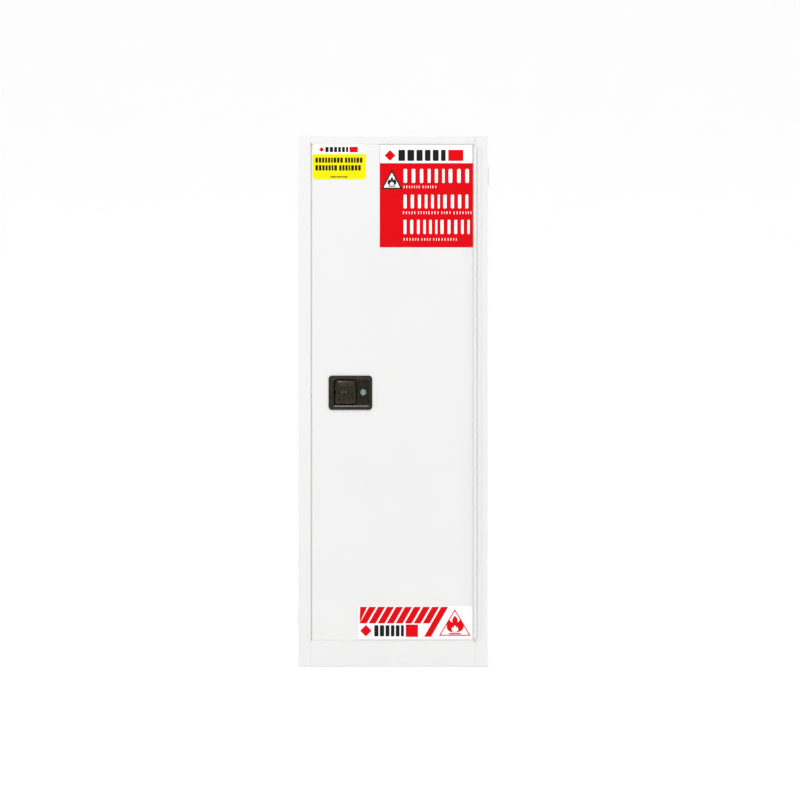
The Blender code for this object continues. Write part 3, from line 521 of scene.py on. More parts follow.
def frame_stiles():
    stop_y = LEFT_STILE[1].y - SHEET
    floor_z = place("sump_pan")[0].z - 1 * MM
    section = ((OUTER_X, FRONT), (OPENING_X, FRONT), (OPENING_X, stop_y), (STOP_X, stop_y))
    for side, hand in SIDES:
        node = "frame_stile_" + hand
        path = [(side * x, y) for x, y in section]
        stile = folded(node + "_finish", path, "Z", (LEFT_STILE[0].z, LEFT_STILE[1].z), -side)
        a, b = sorted((side * (OUTER_X - 5 * MM), side * (STOP_X - 5 * MM)))
        notch = ((a, FRONT + 1.7 * MM, -10 * MM), (b, stop_y + 5 * MM, floor_z))
        cutters = [boxes("cutter", notch)]
        if side < 0:
            cutters.append(drill((-OPENING_X, BOLT_Y, LATCH.z), X, 5 * MM, STRIKE_HOLE))
        carve(stile, *cutters)
        dress(stile, "cabinet", WHITE, node, 0.4)


def frame_rails():
    stop_y = HEAD[1].y - SHEET
    head = [(FRONT, HEAD[1].z), (FRONT, HEAD_Z), (stop_y, HEAD_Z), (stop_y, HEAD[0].z)]
    sill = [(stop_y, SILL[1].z), (stop_y, SILL_Z), (FRONT, SILL_Z), (FRONT, SILL[0].z)]
    for node, path, z, rod in (
        ("frame_head", head, HEAD_Z, ROD_TOP),
        ("frame_sill", sill, SILL_Z, ROD_BOTTOM),
    ):
        low, high = place(node)
        rail = folded(node + "_finish", path, "X", (low.x, high.x), 1)
        carve(rail, drill((rod.x, rod.y, z), Z, 5 * MM, STRIKE_HOLE))
        dress(rail, "cabinet", WHITE, node, 0.3)


def frame_seams():
    """Filled joints between the stiles and the rails. The one at the head's right end is left open."""
    y0, y1 = FRONT - 0.02 * MM, FRONT + 1.0 * MM
    ends = (HEAD[1].x - 0.5 * MM, OPENING_X + 0.5 * MM)
    sill_z, head_z = (SILL[0].z, SILL_Z - 2 * MM), (HEAD_Z + 2 * MM, HEAD[1].z)
    corners = []
    for hand, (z0, z1) in ((-1, sill_z), (1, sill_z), (-1, head_z)):
        x0, x1 = sorted(hand * x for x in ends)
        corners.append(((x0, y0, z0), (x1, y1, z1)))
    dress(boxes("filled_frame_seams", *corners), "cabinet", WHITE)


GROOVE = 4.6 * MM  # depth of the gap to the left of the door


def door_seals():
    """Thin pale strips in the gaps round the door. Above and below the hinge they fill the gap."""
    y0, y1 = FRONT + 0.5 * MM, FRONT + 18 * MM
    inside, half, clear = OPENING_X - 2.2 * MM, 9 * MM, 0.05 * MM
    left, groove_y = -OPENING_X + clear, FRONT + GROOVE
    hinge_low, hinge_high = place("hinge_leaf_frame")
    x0, x1 = DOOR[1].x + 0.6 * MM, OPENING_X - clear
    low, high = SILL_Z + clear, HEAD_Z - clear
    for name, *corners in (
        ("top", (-inside, FRONT + 0.2 * MM, HEAD_Z - 2.9 * MM), (inside, y1, HEAD_Z + 1.3 * MM)),
        ("bottom", (-inside, y0, low), (inside, y1, SILL_Z + 2.8 * MM)),
        ("hinge_top", (x0, y0, hinge_high.z + 0.3 * MM), (x1, y1, high)),
        ("hinge_bottom", (x0, y0, low), (x1, y1, hinge_low.z - 0.3 * MM)),
        ("left_low", (left, groove_y, low), (-inside, y1, LATCH.z - half)),
        ("left_high", (left, groove_y, LATCH.z + half), (-inside, y1, high)),
    ):
        dress(boxes("door_seal_" + name, corners), "cabinet", SEAL, bevel=0.4, segments=3)


def liner():
    for node in ("liner_side_left", "liner_side_right", "liner_back", "liner_top"):
        softened(node, "cabinet", INSIDE, 0.4)
    sump = pan("sump_pan_finish", *place("sump_pan"), "+Z")
    dress(sump, "cabinet", INSIDE, "sump_pan", 0.4)


# -------- vents, earth point and feet


def thread(start, end, crest, root, pitch=2.2):
    """Zigzag profile points that draw a screw thread between two places on an axis."""
    turns = max(1, round(abs(end - start) / pitch))
    step = (end - start) / turns
    points = []
    for i in range(turns):
        points += [(start + step * i, root), (start + step * (i + 0.5), crest)]
    return [*points, (end, root)]


def hexagon(name, start, along, reach, depth, bore=0.0):
    """A hexagonal nut or head with chamfered corners, in millimetres. reach is from axis to corner."""
    chamfer = ((0, 0.9), (0.16, 1.0), (0.84, 1.0), (1, 0.9))
    profile = [(depth * share, reach * size) for share, size in chamfer]
    obj = turned(name, profile, start, along, steps=6)
    if bore:
        at = Vector(start) + along * depth / 2 * MM
        carve(obj, drill(at, along, depth * 1.5 * MM, bore * MM))
    return obj


def outer_end(node, side):
    """The middle of a vent part's outer end, the direction inwards, and its length in millimetres."""
    low, high = place(node)
    centre = (low + high) / 2
    outside = Vector((side * max(abs(low.x), abs(high.x)), centre.y, centre.z))
    return outside, -side * X, (high.x - low.x) / MM


def vent_collar(level, side):
    node = "vent_collar_" + level
    outside, inwards, length = outer_end(node, side)
    flange, bore, tube, rim = 3, 26, 30, 39
    profile = [
        (0, bore + 1.2), (0, rim - 1), (0.3, rim - 0.3), (1, rim),
        (flange - 0.3, rim), (flange, rim - 0.3), (flange, tube),
        (length - 0.5, tube), (length, tube - 0.5), (length, bore + 0.5),
        *thread(length - 1, 1.2, bore, bore + 1),
    ]
    collar = turned(node + "_finish", profile, outside, inwards, looped=True, steps=64)
    dress(collar, "cabinet", ZINC, node)


def flame_screen(level):
    """Two layers of crossed wires in a turned rim."""
    node = "flame_screen_" + level
    low, high = place(node)
    centre, radius = (low + high) / 2, (high.y - low.y) / 2
    wire, pitch = 0.28 * MM, 2.4 * MM
    count = int(radius / pitch)
    bm = bmesh.new()
    for i in range(-count, count + 1):
        reach = math.sqrt(radius**2 - (i * pitch) ** 2) - 0.5 * MM
        for across, along, lift in ((Y, Z, wire), (Z, Y, -wire)):
            at = centre + X * lift + across * i * pitch
            turns = [math.tau * corner / 6 for corner in range(6)]
            around = [(X * math.cos(turn) + across * math.sin(turn)) * wire for turn in turns]
            bridge(bm, [[at + along * end + away for away in around] for end in (-reach, reach)])
    dress(shape(node + "_mesh", bm), "cabinet", ZINC, node)
    half, rim = (high.x - low.x) / 2 / MM, radius / MM
    profile = [
        (-half, rim - 2.2), (-half, rim - 0.3), (-half + 0.3, rim),
        (half - 0.3, rim), (half, rim - 0.3), (half, rim - 2.2),
    ]
    dress(turned(node + "_rim", profile, centre, X, looped=True, steps=48), "cabinet", ZINC)


def vent_cap(level, side):
    """A fluted cap with a square drive hole and a threaded plug."""
    node = "vent_cap_" + level
    outside, inwards, depth = outer_end(node, side)
    head, rim, plug = 7.7, 33, 25.5
    flutes, flute_depth = 24, 1.1 * MM
    profile = [
        (0, rim - 3), (0.4, rim - 1.4), (1.6, rim - 0.3), (3, rim),
        (head - 0.8, rim), (head, rim - 0.8), (head, plug),
        *thread(head + 0.5, depth - 1, plug, plug - 0.9), (depth, plug - 2),
    ]
    cap = turned(node + "_finish", profile, outside, inwards, steps=96)
    for vertex in cap.data.vertices:
        away = vertex.co - outside
        along = away.dot(inwards)
        flat = away - inwards * along
        if flat.length > (rim - 1.2) * MM and along > 1 * MM:
            flute = max(0.0, math.cos(flutes * math.atan2(flat.z, flat.y))) ** 3
            vertex.co -= flat.normalized() * flute_depth * flute
    carve(cap, cube(outside, 6, 11, 11))
    dress(cap, node, WHITE, node, 0.3)


def earth_point():
    low, high = place("earth_stud")
    _, y, z = (low + high) / 2
    length, head = (high.x - low.x) / MM, 5.3
    profile = [(0, 3), *thread(0.5, length - 6, 4, 3.4, 1.25), (length - 5, 4)]
    stud = turned("earth_stud_finish", profile, (low.x, y, z), X, steps=32)
    dress(stud, "cabinet", ZINC, "earth_stud")
    start = (high.x - head * MM, y, z)
    dress(hexagon("earth_stud_head", start, X, 7.5, head), "cabinet", ZINC, bevel=0.2)
    low, high = place("earth_nut")
    nut = hexagon("earth_nut_finish", (low.x, y, z), X, 7.5, (high.x - low.x) / MM, 4.1)
    dress(nut, "cabinet", ZINC, "earth_nut", 0.2)


def foot(end, hand):
    """A rubber pad with a hexagon and a threaded stud, and the fixed nut that it turns in."""
    node, nut_node = f"foot_{end}_{hand}", f"foot_nut_{end}_{hand}"
    low, high = place(node)
    at = Vector(((low.x + high.x) / 2, (low.y + high.y) / 2, low.z))
    rim, top = (high.x - low.x) / 2 / MM, high.z / MM
    profile = [
        (0, rim - 3), (0, rim - 0.8), (0.8, rim), (2.2, rim), (3.2, rim - 1.2), (4.2, 12.5), (4.5, 9)
    ]
    dress(turned(node + "_pad", profile, at, Z, steps=48), node, RUBBER, node)
    dress(hexagon(node + "_hexagon", at + Z * 4.3 * MM, Z, 9, 3.3), node, ZINC, bevel=0.2)
    profile = [(0, 4.4), *thread(1.5, top - 7, 5, 4.3, 1.5), (top - 6, 3.6)]
    dress(turned(node + "_stud", profile, at + Z * 6 * MM, Z, steps=32), node, ZINC)
    low, high = place(nut_node)
    start = (at.x, at.y, low.z)
    nut = hexagon(nut_node + "_finish", start, Z, 9.8, (high.z - low.z) / MM, 5.2)
    dress(nut, "cabinet", ZINC, nut_node, 0.3)


# -------- shelving

SHELVES = (1, 2, 3)
SLOT_PITCH, FIRST_SLOT, SLOTS = 80 * MM, 150 * MM, 18
BRACKET, BRACKET_BEND = 1.5 * MM, 0.8 * MM


def standard(end, hand, side):
    """A channel with a column of slots for the brackets' hooks."""
    node = f"shelf_standard_{end}_{hand}"
    low, high = place(node)
    web, tip = (side * x for x in sorted((abs(low.x), abs(high.x))))
    path = [(tip, low.y), (web, low.y), (web, high.y), (tip, high.y)]
    span = (low.z, high.z)
    post = folded(node + "_finish", path, "Z", span, -side, BRACKET, BRACKET_BEND)
    y, half = (low.y + high.y) / 2, Vector((4, 1.5, 7)) * MM
    centres = [Vector((web, y, FIRST_SLOT + i * SLOT_PITCH)) for i in range(SLOTS)]
    carve(post, boxes("cutter", *[(at - half, at + half) for at in centres]))
    dress(post, "cabinet", INSIDE, node)


def bracket(number, hand, side):
    """An angle whose two hooks sit in the standards' slots."""
    node = f"shelf_{number}_bracket_{hand}"
    low, high = place(node)
    toe = side * min(abs(low.x), abs(high.x))
    leg, seat = toe + side * 19 * MM, low.z + BRACKET
    path = [(leg, high.z), (leg, seat), (toe, seat)]
    span = (low.y, high.y)
    angle = folded(node + "_finish", path, "Y", span, side, BRACKET, BRACKET_BEND)
    x0, x1 = sorted(leg + side * reach * MM for reach in (0.7, 6.8))
    hooks = []
    for end in ("front", "rear"):
        y = middle(f"shelf_standard_{end}_{hand}").y
        hooks.append(((x0, y - 1.1 * MM, seat + 1 * MM), (x1, y + 1.1 * MM, seat + 11 * MM)))
    carve(angle, boxes("cutter", *hooks), operation="UNION")
    dress(angle, "cabinet", GALVANISED, node, 0.25)


def shelf(number):
    """A deck with folded and hemmed edges, and drain slots along its back."""
    node = f"shelf_{number}"
    low, high = place(node)
    hem = 8 * MM
    rear = [(high.y - hem, low.z), (high.y, low.z), (high.y, high.z)]
    path = rear + [(low.y, high.z), (low.y, low.z), (low.y + hem, low.z)]
    deck = folded(node + "_finish", path, "X", (low.x, high.x), 1)
    half = Vector((30, 3, 5)) * MM
    drains = [Vector((x * MM, high.y - 13 * MM, high.z)) for x in (-150, 0, 150)]
    carve(deck, boxes("cutter", *[(at - half, at + half) for at in drains]))
    dress(deck, node, GALVANISED, node, 0.25)


# -------- hinge

KNUCKLES = 75
KNUCKLE_GAP = 0.4 * MM
LEAF = 1.8 * MM
CURL_STEPS, CURL_TURN = 18, math.radians(305)


def curl(axis, edge, way, radius):
    """The middle line of a leaf's curl: along the leaf, then most of a turn round the pin."""
    mid = radius - LEAF / 2
    left = Vector((-way.y, way.x))
    hand = 1 if left.dot(axis - edge) > 0 else -1
    start = edge + left * hand * LEAF / 2
    touch = axis - left * hand * mid
    line = [(start, left)]
    for step in range(CURL_STEPS + 1):
        spin = Matrix.Rotation(hand * CURL_TURN * step / CURL_STEPS, 2)
        line.append((axis + spin @ (touch - axis), spin @ left))
    return line


def hinge():
    frame_low, frame_high = place("hinge_leaf_frame")
    door_low, door_high = place("hinge_leaf_door")
    pin_low, pin_high = place("hinge_pin")
    axis = middle("hinge_pin").xy
    radius = axis.y - frame_low.y
    bottom, top = pin_low.z, pin_high.z
    length = (top - bottom) / KNUCKLES
    leaves = (
        ("hinge_leaf_frame", "cabinet", axis + Vector((7 * MM, radius)), Vector((-1, 0))),
        ("hinge_leaf_door", "door", axis + Vector((-radius, 6.2 * MM)), Vector((0, -1))),
    )
    for own, (node, body, edge, way) in enumerate(leaves):
        bm = bmesh.new()
        line = curl(axis, edge, way, radius)
        for knuckle in range(own, KNUCKLES, 2):
            start = bottom + knuckle * length + KNUCKLE_GAP / 2
            strip(bm, line, LEAF, 2, (start, start + length - KNUCKLE_GAP))
        dress(shape(node + "_knuckles", bm), body, WHITE)
    bands = (
        ((axis.x + 5.5 * MM, frame_high.y - LEAF, frame_low.z), frame_high),
        ((door_low.x, axis.y + 5.8 * MM, door_low.z), (door_low.x + LEAF, door_high.y, door_high.z)),
    )
    for (node, body, *_), band in zip(leaves, bands):
        dress(boxes(node + "_finish", band), body, WHITE, node, 0.6, 3)
    tip = ((0, 1.4), (0.4, 2.2), (1, 2.4))
    height = (top - bottom) / MM
    profile = [*tip, *((height - along, across) for along, across in reversed(tip))]
    pin = turned("hinge_pin_finish", profile, (*axis, bottom), Z, steps=24)
    dress(pin, "cabinet", ZINC, "hinge_pin")


# -------- door


def door_outer():
    """The outer skin, with openings for the handle, the two rods and the centre bolt."""
    outer = pan("door_outer_skin_finish", *DOOR, "+Y", bend=2.0 * MM)
    low, high = place("handle_housing")
    hole = (
        (low.x + 14.8 * MM, FRONT - 5 * MM, low.z + 11.8 * MM),
        (high.x - 8.2 * MM, FRONT + 5 * MM, high.z - 6.2 * MM),
    )
    cutters = [boxes("cutter", hole)]
    for rod, z in ((ROD_TOP, DOOR[1].z), (ROD_BOTTOM, DOOR[0].z)):
        cutters.append(drill((rod.x, rod.y, z), Z, 5 * MM, 4.8 * MM))
    cutters.append(drill((DOOR[0].x, BOLT_Y, LATCH.z), X, 5 * MM, 5.8 * MM))
    carve(outer, *cutters)
    dress(outer, "door", WHITE, "door_outer_skin")


def door_edges():
    """The guard round the latch bolt, the lip behind the gap, and the edge beside the hinge."""
    left, right = DOOR[0].x, DOOR[1].x - 0.1 * MM
    bottom, top = DOOR[0].z, DOOR[1].z
    guard = (
        (left - 3.1 * MM, FRONT + 0.1 * MM, LATCH.z - 7.5 * MM),
        (left + 3.5 * MM, FRONT + 16 * MM, LATCH.z + 7.5 * MM),
    )
    lip = (
        (left - 1.4 * MM, FRONT + GROOVE, bottom + 4 * MM),
        (left + 0.6 * MM, FRONT + 10 * MM, top - 4 * MM),
    )
    edge = (
        (right - 3.6 * MM, FRONT + 0.05 * MM, bottom + 1 * MM),
        (right, FRONT + 3.5 * MM, top - 1 * MM),
    )
    dress(boxes("latch_guard", guard), "door", WHITE, bevel=0.3, segments=3)
    dress(boxes("door_closing_lip", lip), "door", SEAL, bevel=0.3)
    dress(boxes("door_hinge_edge", edge), "door", WHITE, bevel=0.3)


def door_inner():
    inner = pan("door_inner_skin_finish", *place("door_inner_skin"), "-Y")
    dress(inner, "door", INSIDE, "door_inner_skin")


# -------- handle


def rounded_ring(limits, by, radius, y):
    """A rounded rectangle in the door's plane, grown from its limits. Sizes are in millimetres."""
    x0, x1, z0, z1 = limits
    outline = rect(x0 - by, x1 + by, z0 - by, z1 + by, radius, 6)
    return [(x * MM, y * MM, z * MM) for x, z in outline]


def handle_housing():
    x0, x1, front, back, z0, z1 = in_mm("handle_housing")
    plate = (x0, x1, z0, z1)
    tray = (x0 + 15.8, x1 - 9.2, z0 + 12.8, z1 - 7.2)
    mouth = (x0 + 9.5, x1 - 5, z0 + 9.5, z1 - 8.5)
    neck = (x0 + 16.6, x1 - 11, z0 + 15, z1 - 12.5)
    floor = (x0 + 19, x1 - 12.7, z0 + 18.5, z1 - 14)
    flange, floor_y = front + 3.5, back - 2
    sections = (
        (tray, 0, 8, back), (tray, 0, 8, flange),
        (plate, 0, 11, flange), (plate, 0, 11, front + 2.2), (plate, -0.5, 10.5, front + 1.1),
        (plate, -1.4, 9.6, front + 0.3), (plate, -2.6, 8.4, front),
        (mouth, 0.7, 7, front), (mouth, 0, 6.5, front + 0.25),
        (neck, 0.5, 6, flange - 0.2), (neck, 0, 5.5, flange + 0.3),
        (floor, 1.2, 5, floor_y - 1.5), (floor, 0, 4.5, floor_y),
    )
    housing = lofted("handle_housing_finish", [rounded_ring(*section) for section in sections])
    barrel, pin = middle("lock_barrel"), middle("paddle_pin")
    y0, y1, reach = (floor_y - 3) * MM, (back + 3) * MM, 8 * MM
    slot = ((pin.x - reach, y0, LATCH.z - reach), (pin.x + reach, y1, LATCH.z + reach))
    holes = [
        rod_cutter((at.x, y0, at.z), (at.x, y1, at.z), radius * MM)
        for at, radius in ((LATCH, 4.3), (barrel, 8.4))
    ]
    z0, z1 = tray[2] * MM - reach, tray[3] * MM + reach
    bearing = rod_cutter((pin.x, pin.y, z0), (pin.x, pin.y, z1), 2.3 * MM)
    x, y = place("paddle")[1].x + 0.6 * MM, (floor_y - 4.6) * MM
    z0, z1 = (floor[2] + 4) * MM, (floor[3] - 4) * MM
    scoop = rod_cutter((x, y, z0), (x, y, z1), 6 * MM, 48)
    carve(housing, boxes("cutter", slot), *holes, bearing, scoop)
    dress(housing, "door", BLACK, "handle_housing", 0.35, edge=BLACK_EDGE_WEAR_AND_HIGHLIGHT)


def eight_sided(limits, by, left, right, y):
    """A rectangle grown by some millimetres, whose corners are cut off by left and by right."""
    x0, x1, z0, z1 = limits[0] - by, limits[1] + by, limits[2] - by, limits[3] + by
    rise = right * 0.7
    outline = (
        (x0 + left, z0), (x1 - right, z0), (x1, z0 + rise), (x1, z1 - rise),
        (x1 - right, z1), (x0 + left, z1), (x0, z1 - left), (x0, z0 + left),
    )
    return [Vector((x, y, z)) * MM for x, z in outline]


def paddle():
    """The pull plate with bevelled edges and a dished face, and what is behind it."""
    _, x1, front, _, z0, z1 = in_mm("paddle")
    pin = middle("paddle_pin")
    plate = (pin.x / MM - 5, x1, z0, z1)
    back = front + 6
    sections = (
        (-2, back), (-0.4, back - 0.8), (0, back - 2.2), (0, front + 3.1), (-0.5, front + 2.4),
        (-4.4, front + 0.15), (-5.2, front), (-7, front + 0.15), (-12, front + 1.1), (-18, front + 1.4),
    )
    pull = lofted("paddle_finish", [eight_sided(plate, by, 6, 9, y) for by, y in sections])
    dress(pull, "paddle", BLACK, "paddle", 0.5, edge=BLACK_EDGE_WEAR_AND_HIGHLIGHT)
    dome = [(0, 2.5), (0.5, 2.3), (0.9, 1.7), (1.15, 0.9)]
    for number, offset in enumerate((15.4, 26.6), 1):
        at = (pin.x + offset * MM, (front + 1.5) * MM, LATCH.z - 0.8 * MM)
        dress(turned(f"paddle_rivet_{number}", dome, at, -Y, steps=24), "paddle", BROWNED)
    length, bore = 67, 2.2
    tip = ((0, bore + 1), (0, 4), (0.6, 4.5))
    barrel = [*tip, *((length - along, across) for along, across in reversed(tip))]
    barrel += [(length, bore), (0, bore)]
    start = (pin.x, pin.y, (z0 + 2) * MM)
    tube = turned("paddle_hinge_tube", barrel, start, Z, looped=True, steps=32)
    dress(tube, "paddle", BLACK)
    ends = Vector((x1 - 3.5, back - 2, z0 + 8)), Vector((x1 - 1, back + 5, z1 - 8))
    lip = boxes("paddle_finger_lip", [end * MM for end in ends])
    dress(lip, "paddle", BLACK, bevel=0.9, segments=3, edge=BLACK_EDGE_WEAR_AND_HIGHLIGHT)
    tongue = boxes("paddle_tongue", (Vector((-1.5, 2.5, -6)) * MM, Vector((1.5, 24, 6)) * MM))
    lean = Matrix.Rotation(math.radians(17.5), 4, "Z")
    tongue.data.transform(Matrix.Translation((pin.x, pin.y, LATCH.z)) @ lean)
    dress(tongue, "paddle", BLACK, bevel=0.5, edge=BLACK_EDGE_WEAR_AND_HIGHLIGHT)


def paddle_pin():
    low, high = place("paddle_pin")
    at, length = (low + high) / 2, (high.z - low.z) / MM
    profile = [(0, 1.5), (0.5, 2), (length - 0.5, 2), (length, 1.5)]
    pin = turned("paddle_pin_finish", profile, (at.x, at.y, low.z), Z, steps=24)
    dress(pin, "door", DARK_METAL, "paddle_pin")


def lock():
    low, high = place("lock_barrel")
    x, _, z = (low + high) / 2
    rim, depth = (high.x - low.x) / 2 / MM, (high.y - low.y) / MM
    shoulder = depth - 3.3
    profile = [
        (0.5, 6.3), (0, 6.8), (0, 7.6), (0.35, 7.8), (0.35, 8.2), (0, 8.4), (0, 8.9), (0.5, 9.5),
        (2.2, rim - 0.3), (3, rim), (shoulder, rim), (shoulder, 8), (depth, 8), (depth, 6.3),
    ]
    barrel = turned("lock_barrel_finish", profile, (x, low.y, z), Y, looped=True, steps=64)
    dress(barrel, "door", NICKEL, "lock_barrel")
    low, high = place("lock_plug")
    start, cam = Vector((x, low.y, z)), 3 * MM
    profile = [(0, 5.2), (0.25, 5.8), (0.7, 6), ((high.y - cam - low.y) / MM, 6)]
    plug = turned("lock_plug_finish", profile, start, Y, steps=48)
    carve(plug, cube(start, 0.9, 9, 3.7))
    carve(plug, cube(start - Z * 1.4 * MM, 1.7, 9, 1.2))
    dress(plug, "lock", NICKEL, "lock_plug", 0.15)
    end = 6 * MM
    outline = arc(x, high.z - end, end, 0, 2, 12) + arc(x, z - 1 * MM, end, 2, 2, 12)
    bm = bmesh.new()
    prism(bm, outline, high.y - cam, high.y)
    dress(shape("lock_cam", bm), "lock", (ZINC[0], "lock_metal"), bevel=0.3)


def latch():
    """The moving parts of the three-point latch inside the door."""
    softened("latch_rotor", "rotor", ZINC, 0.3)
    for node in ("centre_bolt", "rod_top", "rod_bottom"):
        softened(node, node, ZINC, 0.3)


# -------- printed labels

PRINT = 0.05 * MM  # each layer of print stands this far out of the one under it
BLOCK_WIDTHS = (1.0, 0.84, 1.08, 0.92, 0.7, 1.02, 0.88)


def label(node, base, *prints):
    """Gives a label's own CAD node its colour, and puts raised prints on it.

    A print is its name, finish, layer and outlines, in millimetres right of and below the label's top
    left corner.
    """
    material, base_slot = base
    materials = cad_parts[node].data.materials
    materials.clear()
    materials.append(material)
    low, high = place(node)
    for ink, (material, slot), layer, outlines in prints:
        bm = bmesh.new()
        for outline in outlines:
            points = [(low.x + u * MM, high.z - v * MM) for u, v in outline]
            prism(bm, points, low.y - layer * PRINT, low.y + PRINT)
        dress(shape(node + "_" + ink, bm), "door", (material, slot or base_slot))


def blocks(u0, u1, v0, v1, counts, weight=1.0):
    """A row of plain blocks in place of words. counts holds how many blocks each word has.

    weight is how much of its full width each block keeps.
    """
    gap, space = 0.34, 0.85
    spans, at = [], 0.0
    for word, count in enumerate(counts):
        for i in range(count):
            width = BLOCK_WIDTHS[(3 * word + 5 * i) % len(BLOCK_WIDTHS)]
            spans.append((at, at + width * weight))
            at += width + gap
        at += space - gap
    scale = (u1 - u0) / (at - space)
    outlines = []
    for start, end in spans:
        radius = min((v1 - v0) * 0.08, (end - start) * scale * 0.3)
        outlines.append(rect(u0 + start * scale, u0 + end * scale, v0, v1, radius, 2))
    return outlines


def round_top(u0, u1, v0, v1, radius):
    """A rectangle whose top corners are round."""
    left = arc(u0 + radius, v0 + radius, radius, 2, 1, 6)
    right = arc(u1 - radius, v0 + radius, radius, 3, 1, 6)
    return [(u0, v1), *left, *right, (u1, v1)]


def frame_lines(u0, u1, v0, v1, width):
    """Four thin bars along the edges of a rectangle."""
    return [
        rect(u0, u1, v0, v0 + width),
        rect(u0, u1, v1 - width, v1),
        rect(u0, u0 + width, v0 + width, v1 - width),
        rect(u1 - width, u1, v0 + width, v1 - width),
    ]


def round_corners(corners, radius):
    """A polygon whose corners are round."""
    points = []
    count = len(corners)
    for i in range(count):
        before, at, after = (Vector(corners[(i + k) % count]) for k in (-1, 0, 1))
        one, two = (before - at).normalized(), (after - at).normalized()
        half = one.angle(two) / 2
        centre = at + (one + two).normalized() * radius / math.sin(half)
        start = at + one * radius / math.tan(half) - centre
        end = at + two * radius / math.tan(half) - centre
        for step in range(ARC_STEPS + 1):
            points.append(tuple(centre + start.slerp(end, step / ARC_STEPS)))
    return points


def warning_triangle(u, top, half, base, inset, radius):
    """A rounded triangle, drawn inset from its full outline."""
    inner_top = top + inset * math.hypot(half, base - top) / half
    inner_base = base - inset
    inner_half = half * (inner_base - inner_top) / (base - top)
    corners = [(u, inner_top), (u + inner_half, inner_base), (u - inner_half, inner_base)]
    return round_corners(corners, radius)


FLAME = (
    (0.0, 1.0), (0.13, 0.86), (0.17, 0.72), (0.15, 0.6), (0.27, 0.68), (0.36, 0.82),
    (0.42, 0.66), (0.50, 0.50), (0.53, 0.32), (0.47, 0.16), (0.34, 0.05), (0.18, 0.0),
)


def flame(u, base, height):
    """A plain flame, a little smaller on its left."""
    right = [(u + x * height, base - y * height) for x, y in FLAME]
    left = [(u - x * height * 0.94, base - y * height * 0.96) for x, y in FLAME[1:]]
    return right + left[::-1]


def diamond(u, v, half):
    return [(u, v - half), (u + half, v), (u, v + half), (u - half, v)]


def title_label():
    lines = blocks(9, 155, 42, 58, (9, 6))
    lines += blocks(9, 150, 65.6, 82.4, (7, 7))
    lines += blocks(56.5, 108, 99.6, 104.4, (5, 6, 4))
    label(
        "label_title",
        PRINT_YELLOW,
        ("header", PRINT_WHITE, 1, [round_top(0.6, 165.4, 0.6, 31, 7.4)]),
        ("mark_red", PRINT_RED, 2, [diamond(28, 17, 8), rect(115, 141, 8.5, 25.5)]),
        ("mark_dark", PRINT_BLACK, 2, blocks(40, 111, 9, 25, (6,))),
        ("lines", PRINT_BLACK, 1, lines),
    )


def warning_label():
    header = (0.1, 289.9, 0.1, 59.5)
    wide, narrow = 0.58, 0.4
    rows = (
        (74, 285.5, 76.8, 120.3, (9,), wide),
        (74, 281.7, 156.7, 199.6, (10,), wide),
        (74, 285.5, 235, 279.3, (11,), wide),
        (74, 179.4, 129, 136.6, (7, 6), narrow),
        (72.4, 287.6, 209, 217.2, (5, 8, 4, 7), narrow),
        (74, 242.2, 292, 300, (6, 4, 9), narrow),
    )
    across = 37.5
    sign = (across, 74.5, 36.3, 141.5)
    label(
        "label_warning",
        PRINT_RED,
        ("header", PRINT_WHITE, 1, [rect(*header)]),
        ("border", PRINT_GREY, 2, frame_lines(*header, 1.1)),
        ("mark_red", PRINT_RED, 2, [diamond(32, 35, 17), rect(213, 260, 17.5, 52)]),
        ("mark_dark", PRINT_BLACK, 2, blocks(58, 205, 17.5, 52, (6,))),
        ("lines", PRINT_WHITE, 1, [outline for row in rows for outline in blocks(*row)]),
        ("sign_black", PRINT_BLACK, 1, [warning_triangle(*sign, 0, 3)]),
        ("sign_white", PRINT_WHITE, 2, [warning_triangle(*sign, 6.2, 1.2)]),
        ("flame", PRINT_BLACK, 3, [flame(across, 128.4, 27), rect(26, 49, 130.3, 132.7)]),
        ("flame_heart", PRINT_WHITE, 4, [flame(across, 127.4, 12)]),
    )


def stripe_label():
    """Leaning stripes. The last one reaches down beside the mark, and the first is cut off at the left."""
    count, last, pitch, width, left = 10, 259.9, 28, 21.8, 6.4
    top, bottom, low_end = 4.9, 56.6, 98
    lean = 29.5 / (bottom - top)
    stripes = []
    for i in range(count):
        start = last - pitch * (count - 1 - i)
        end = low_end if i == count - 1 else bottom
        foot_u = start - lean * (end - top)
        corners = [(start, top), (start + width, top), (foot_u + width, end), (foot_u, end)]
        stripes.append([(max(left, u), v) for u, v in corners])
    across = 302.5
    sign = (across, 6.2, 54.7, 98)
    label(
        "label_stripe",
        PRINT_WHITE,
        ("stripes", PRINT_RED, 1, stripes),
        ("border", PRINT_GREY, 1, frame_lines(0.8, 358.2, 0.8, 106.2, 0.6)),
        ("mark_red", PRINT_RED, 1, [diamond(26, 79.3, 18), rect(150, 188, 60, 98.6)]),
        ("mark_dark", PRINT_BLACK, 1, blocks(52, 144, 62, 97, (6,))),
        ("sign_red", PRINT_RED, 1, [warning_triangle(*sign, 0, 4)]),
        ("sign_white", PRINT_WHITE, 2, [warning_triangle(*sign, 5.3, 2)]),
        ("flame", PRINT_RED, 3, [flame(across, 84, 52), rect(284, 321, 86.5, 90.5)]),
        ("flame_heart", PRINT_WHITE, 4, [flame(across, 82.5, 20)]),
    )


# -------- surroundings

HALF_WIDTH, FLOOR_FRONT, FLOOR_END, CURVE, WALL_TOP = 18, -20, 10, 3, 13
EYE_LEVEL_LIGHT, OVERHEAD_LIGHT = 0.38, 1.3
AIM = Vector((0, -0.2, 0.9))  # where the lamps point
SENSOR = 36  # the camera's sensor, in millimetres
CAMERA_AT, FAR_CLIP = (0.022, -12.22, 0.83), 60
VIEW_DISTANCE, VIEW_WIDTH = 12, 2.488  # the view is this wide at this distance


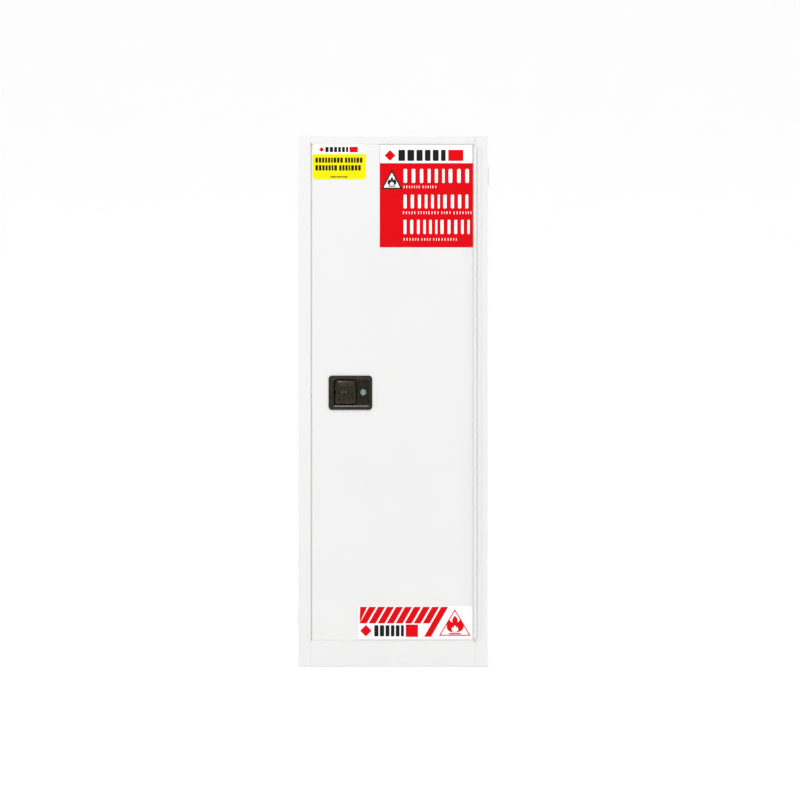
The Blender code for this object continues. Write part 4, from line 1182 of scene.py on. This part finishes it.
def backdrop():
    """A pale floor that curves up into a wall, with room for a camera behind the cabinet."""
    curve = arc(FLOOR_END, CURVE, CURVE, -1, 1, 12)
    section = [(FLOOR_FRONT, 0), *curve, (FLOOR_END + CURVE, WALL_TOP)]
    bm = bmesh.new()
    sides = [[(x, y, z) for y, z in section] for x in (-HALF_WIDTH, HALF_WIDTH)]
    near, far = [[bm.verts.new(point) for point in side] for side in sides]
    for i in range(len(section) - 1):
        bm.faces.new((near[i], far[i], far[i + 1], near[i + 1]))
    mesh = bpy.data.meshes.new("backdrop")
    bm.to_mesh(mesh)
    bm.free()
    mesh.shade_smooth()
    paper = Shader("backdrop_paper", (0.62, 0.62, 0.62), 0.9)
    paper.mottle(paper.noise(3.0), 0.004)
    fill(paper.bsdf, Emission_Color=(1, 1, 1, 1), Emission_Strength=0.42)
    mesh.materials.append(paper.material)
    added("backdrop", mesh)


def area_light(name, at, size, power):
    data = bpy.data.lights.new(name, "AREA")
    data.shape = "RECTANGLE"
    data.size, data.size_y = size
    data.energy = power
    lamp = added(name, data)
    lamp.location = at
    lamp.rotation_mode = "QUATERNION"
    lamp.rotation_quaternion = (AIM - Vector(at)).to_track_quat("-Z", "Y")


def studio():
    """White surroundings, brighter overhead than at eye level, and soft lamps left, right and above."""
    scene = bpy.context.scene
    world = bpy.data.worlds.new("studio_white")
    world.use_nodes = True
    tree = world.node_tree
    background = fill(tree.nodes["Background"], Color=(1, 1, 1, 1))
    direction = tree.nodes.new("ShaderNodeTexCoord")
    split = tree.nodes.new("ShaderNodeSeparateXYZ")
    brightness = tree.nodes.new("ShaderNodeMapRange")
    fill(brightness, To_Min=EYE_LEVEL_LIGHT, To_Max=OVERHEAD_LIGHT)
    tree.links.new(direction.outputs["Generated"], split.inputs["Vector"])
    tree.links.new(split.outputs["Z"], brightness.inputs["Value"])
    tree.links.new(brightness.outputs["Result"], background.inputs["Strength"])
    scene.world = world
    area_light("key", (-5.2, -1.9, 2.2), (0.9, 1.8), 17)
    area_light("fill", (5.2, -1.9, 2.2), (0.9, 1.8), 19)
    area_light("above", (-1.1, -2.9, 5.6), (1.6, 1.6), 97)
    scene.view_settings.view_transform = "Standard"


def camera():
    data = bpy.data.cameras.new("camera")
    data.sensor_width = SENSOR
    data.lens = SENSOR * VIEW_DISTANCE / VIEW_WIDTH
    data.clip_end = FAR_CLIP
    obj = added("camera", data)
    obj.location = CAMERA_AT
    obj.rotation_euler = (math.pi / 2, 0, 0)
    bpy.context.scene.camera = obj


outer_panels()
seams()
frame_stiles()
frame_rails()
frame_seams()
door_seals()
liner()
for level, side in (("low", -1), ("high", 1)):
    vent_collar(level, side)
    flame_screen(level)
    vent_cap(level, side)
earth_point()
for end, hand in CORNERS:
    foot(end, hand)
for side, hand in SIDES:
    for end in ("front", "rear"):
        standard(end, hand, side)
for number in SHELVES:
    for side, hand in SIDES:
        bracket(number, hand, side)
for number in SHELVES:
    shelf(number)
hinge()
door_outer()
door_edges()
door_inner()
handle_housing()
paddle()
paddle_pin()
lock()
latch()
title_label()
warning_label()
stripe_label()
backdrop()
studio()
camera()
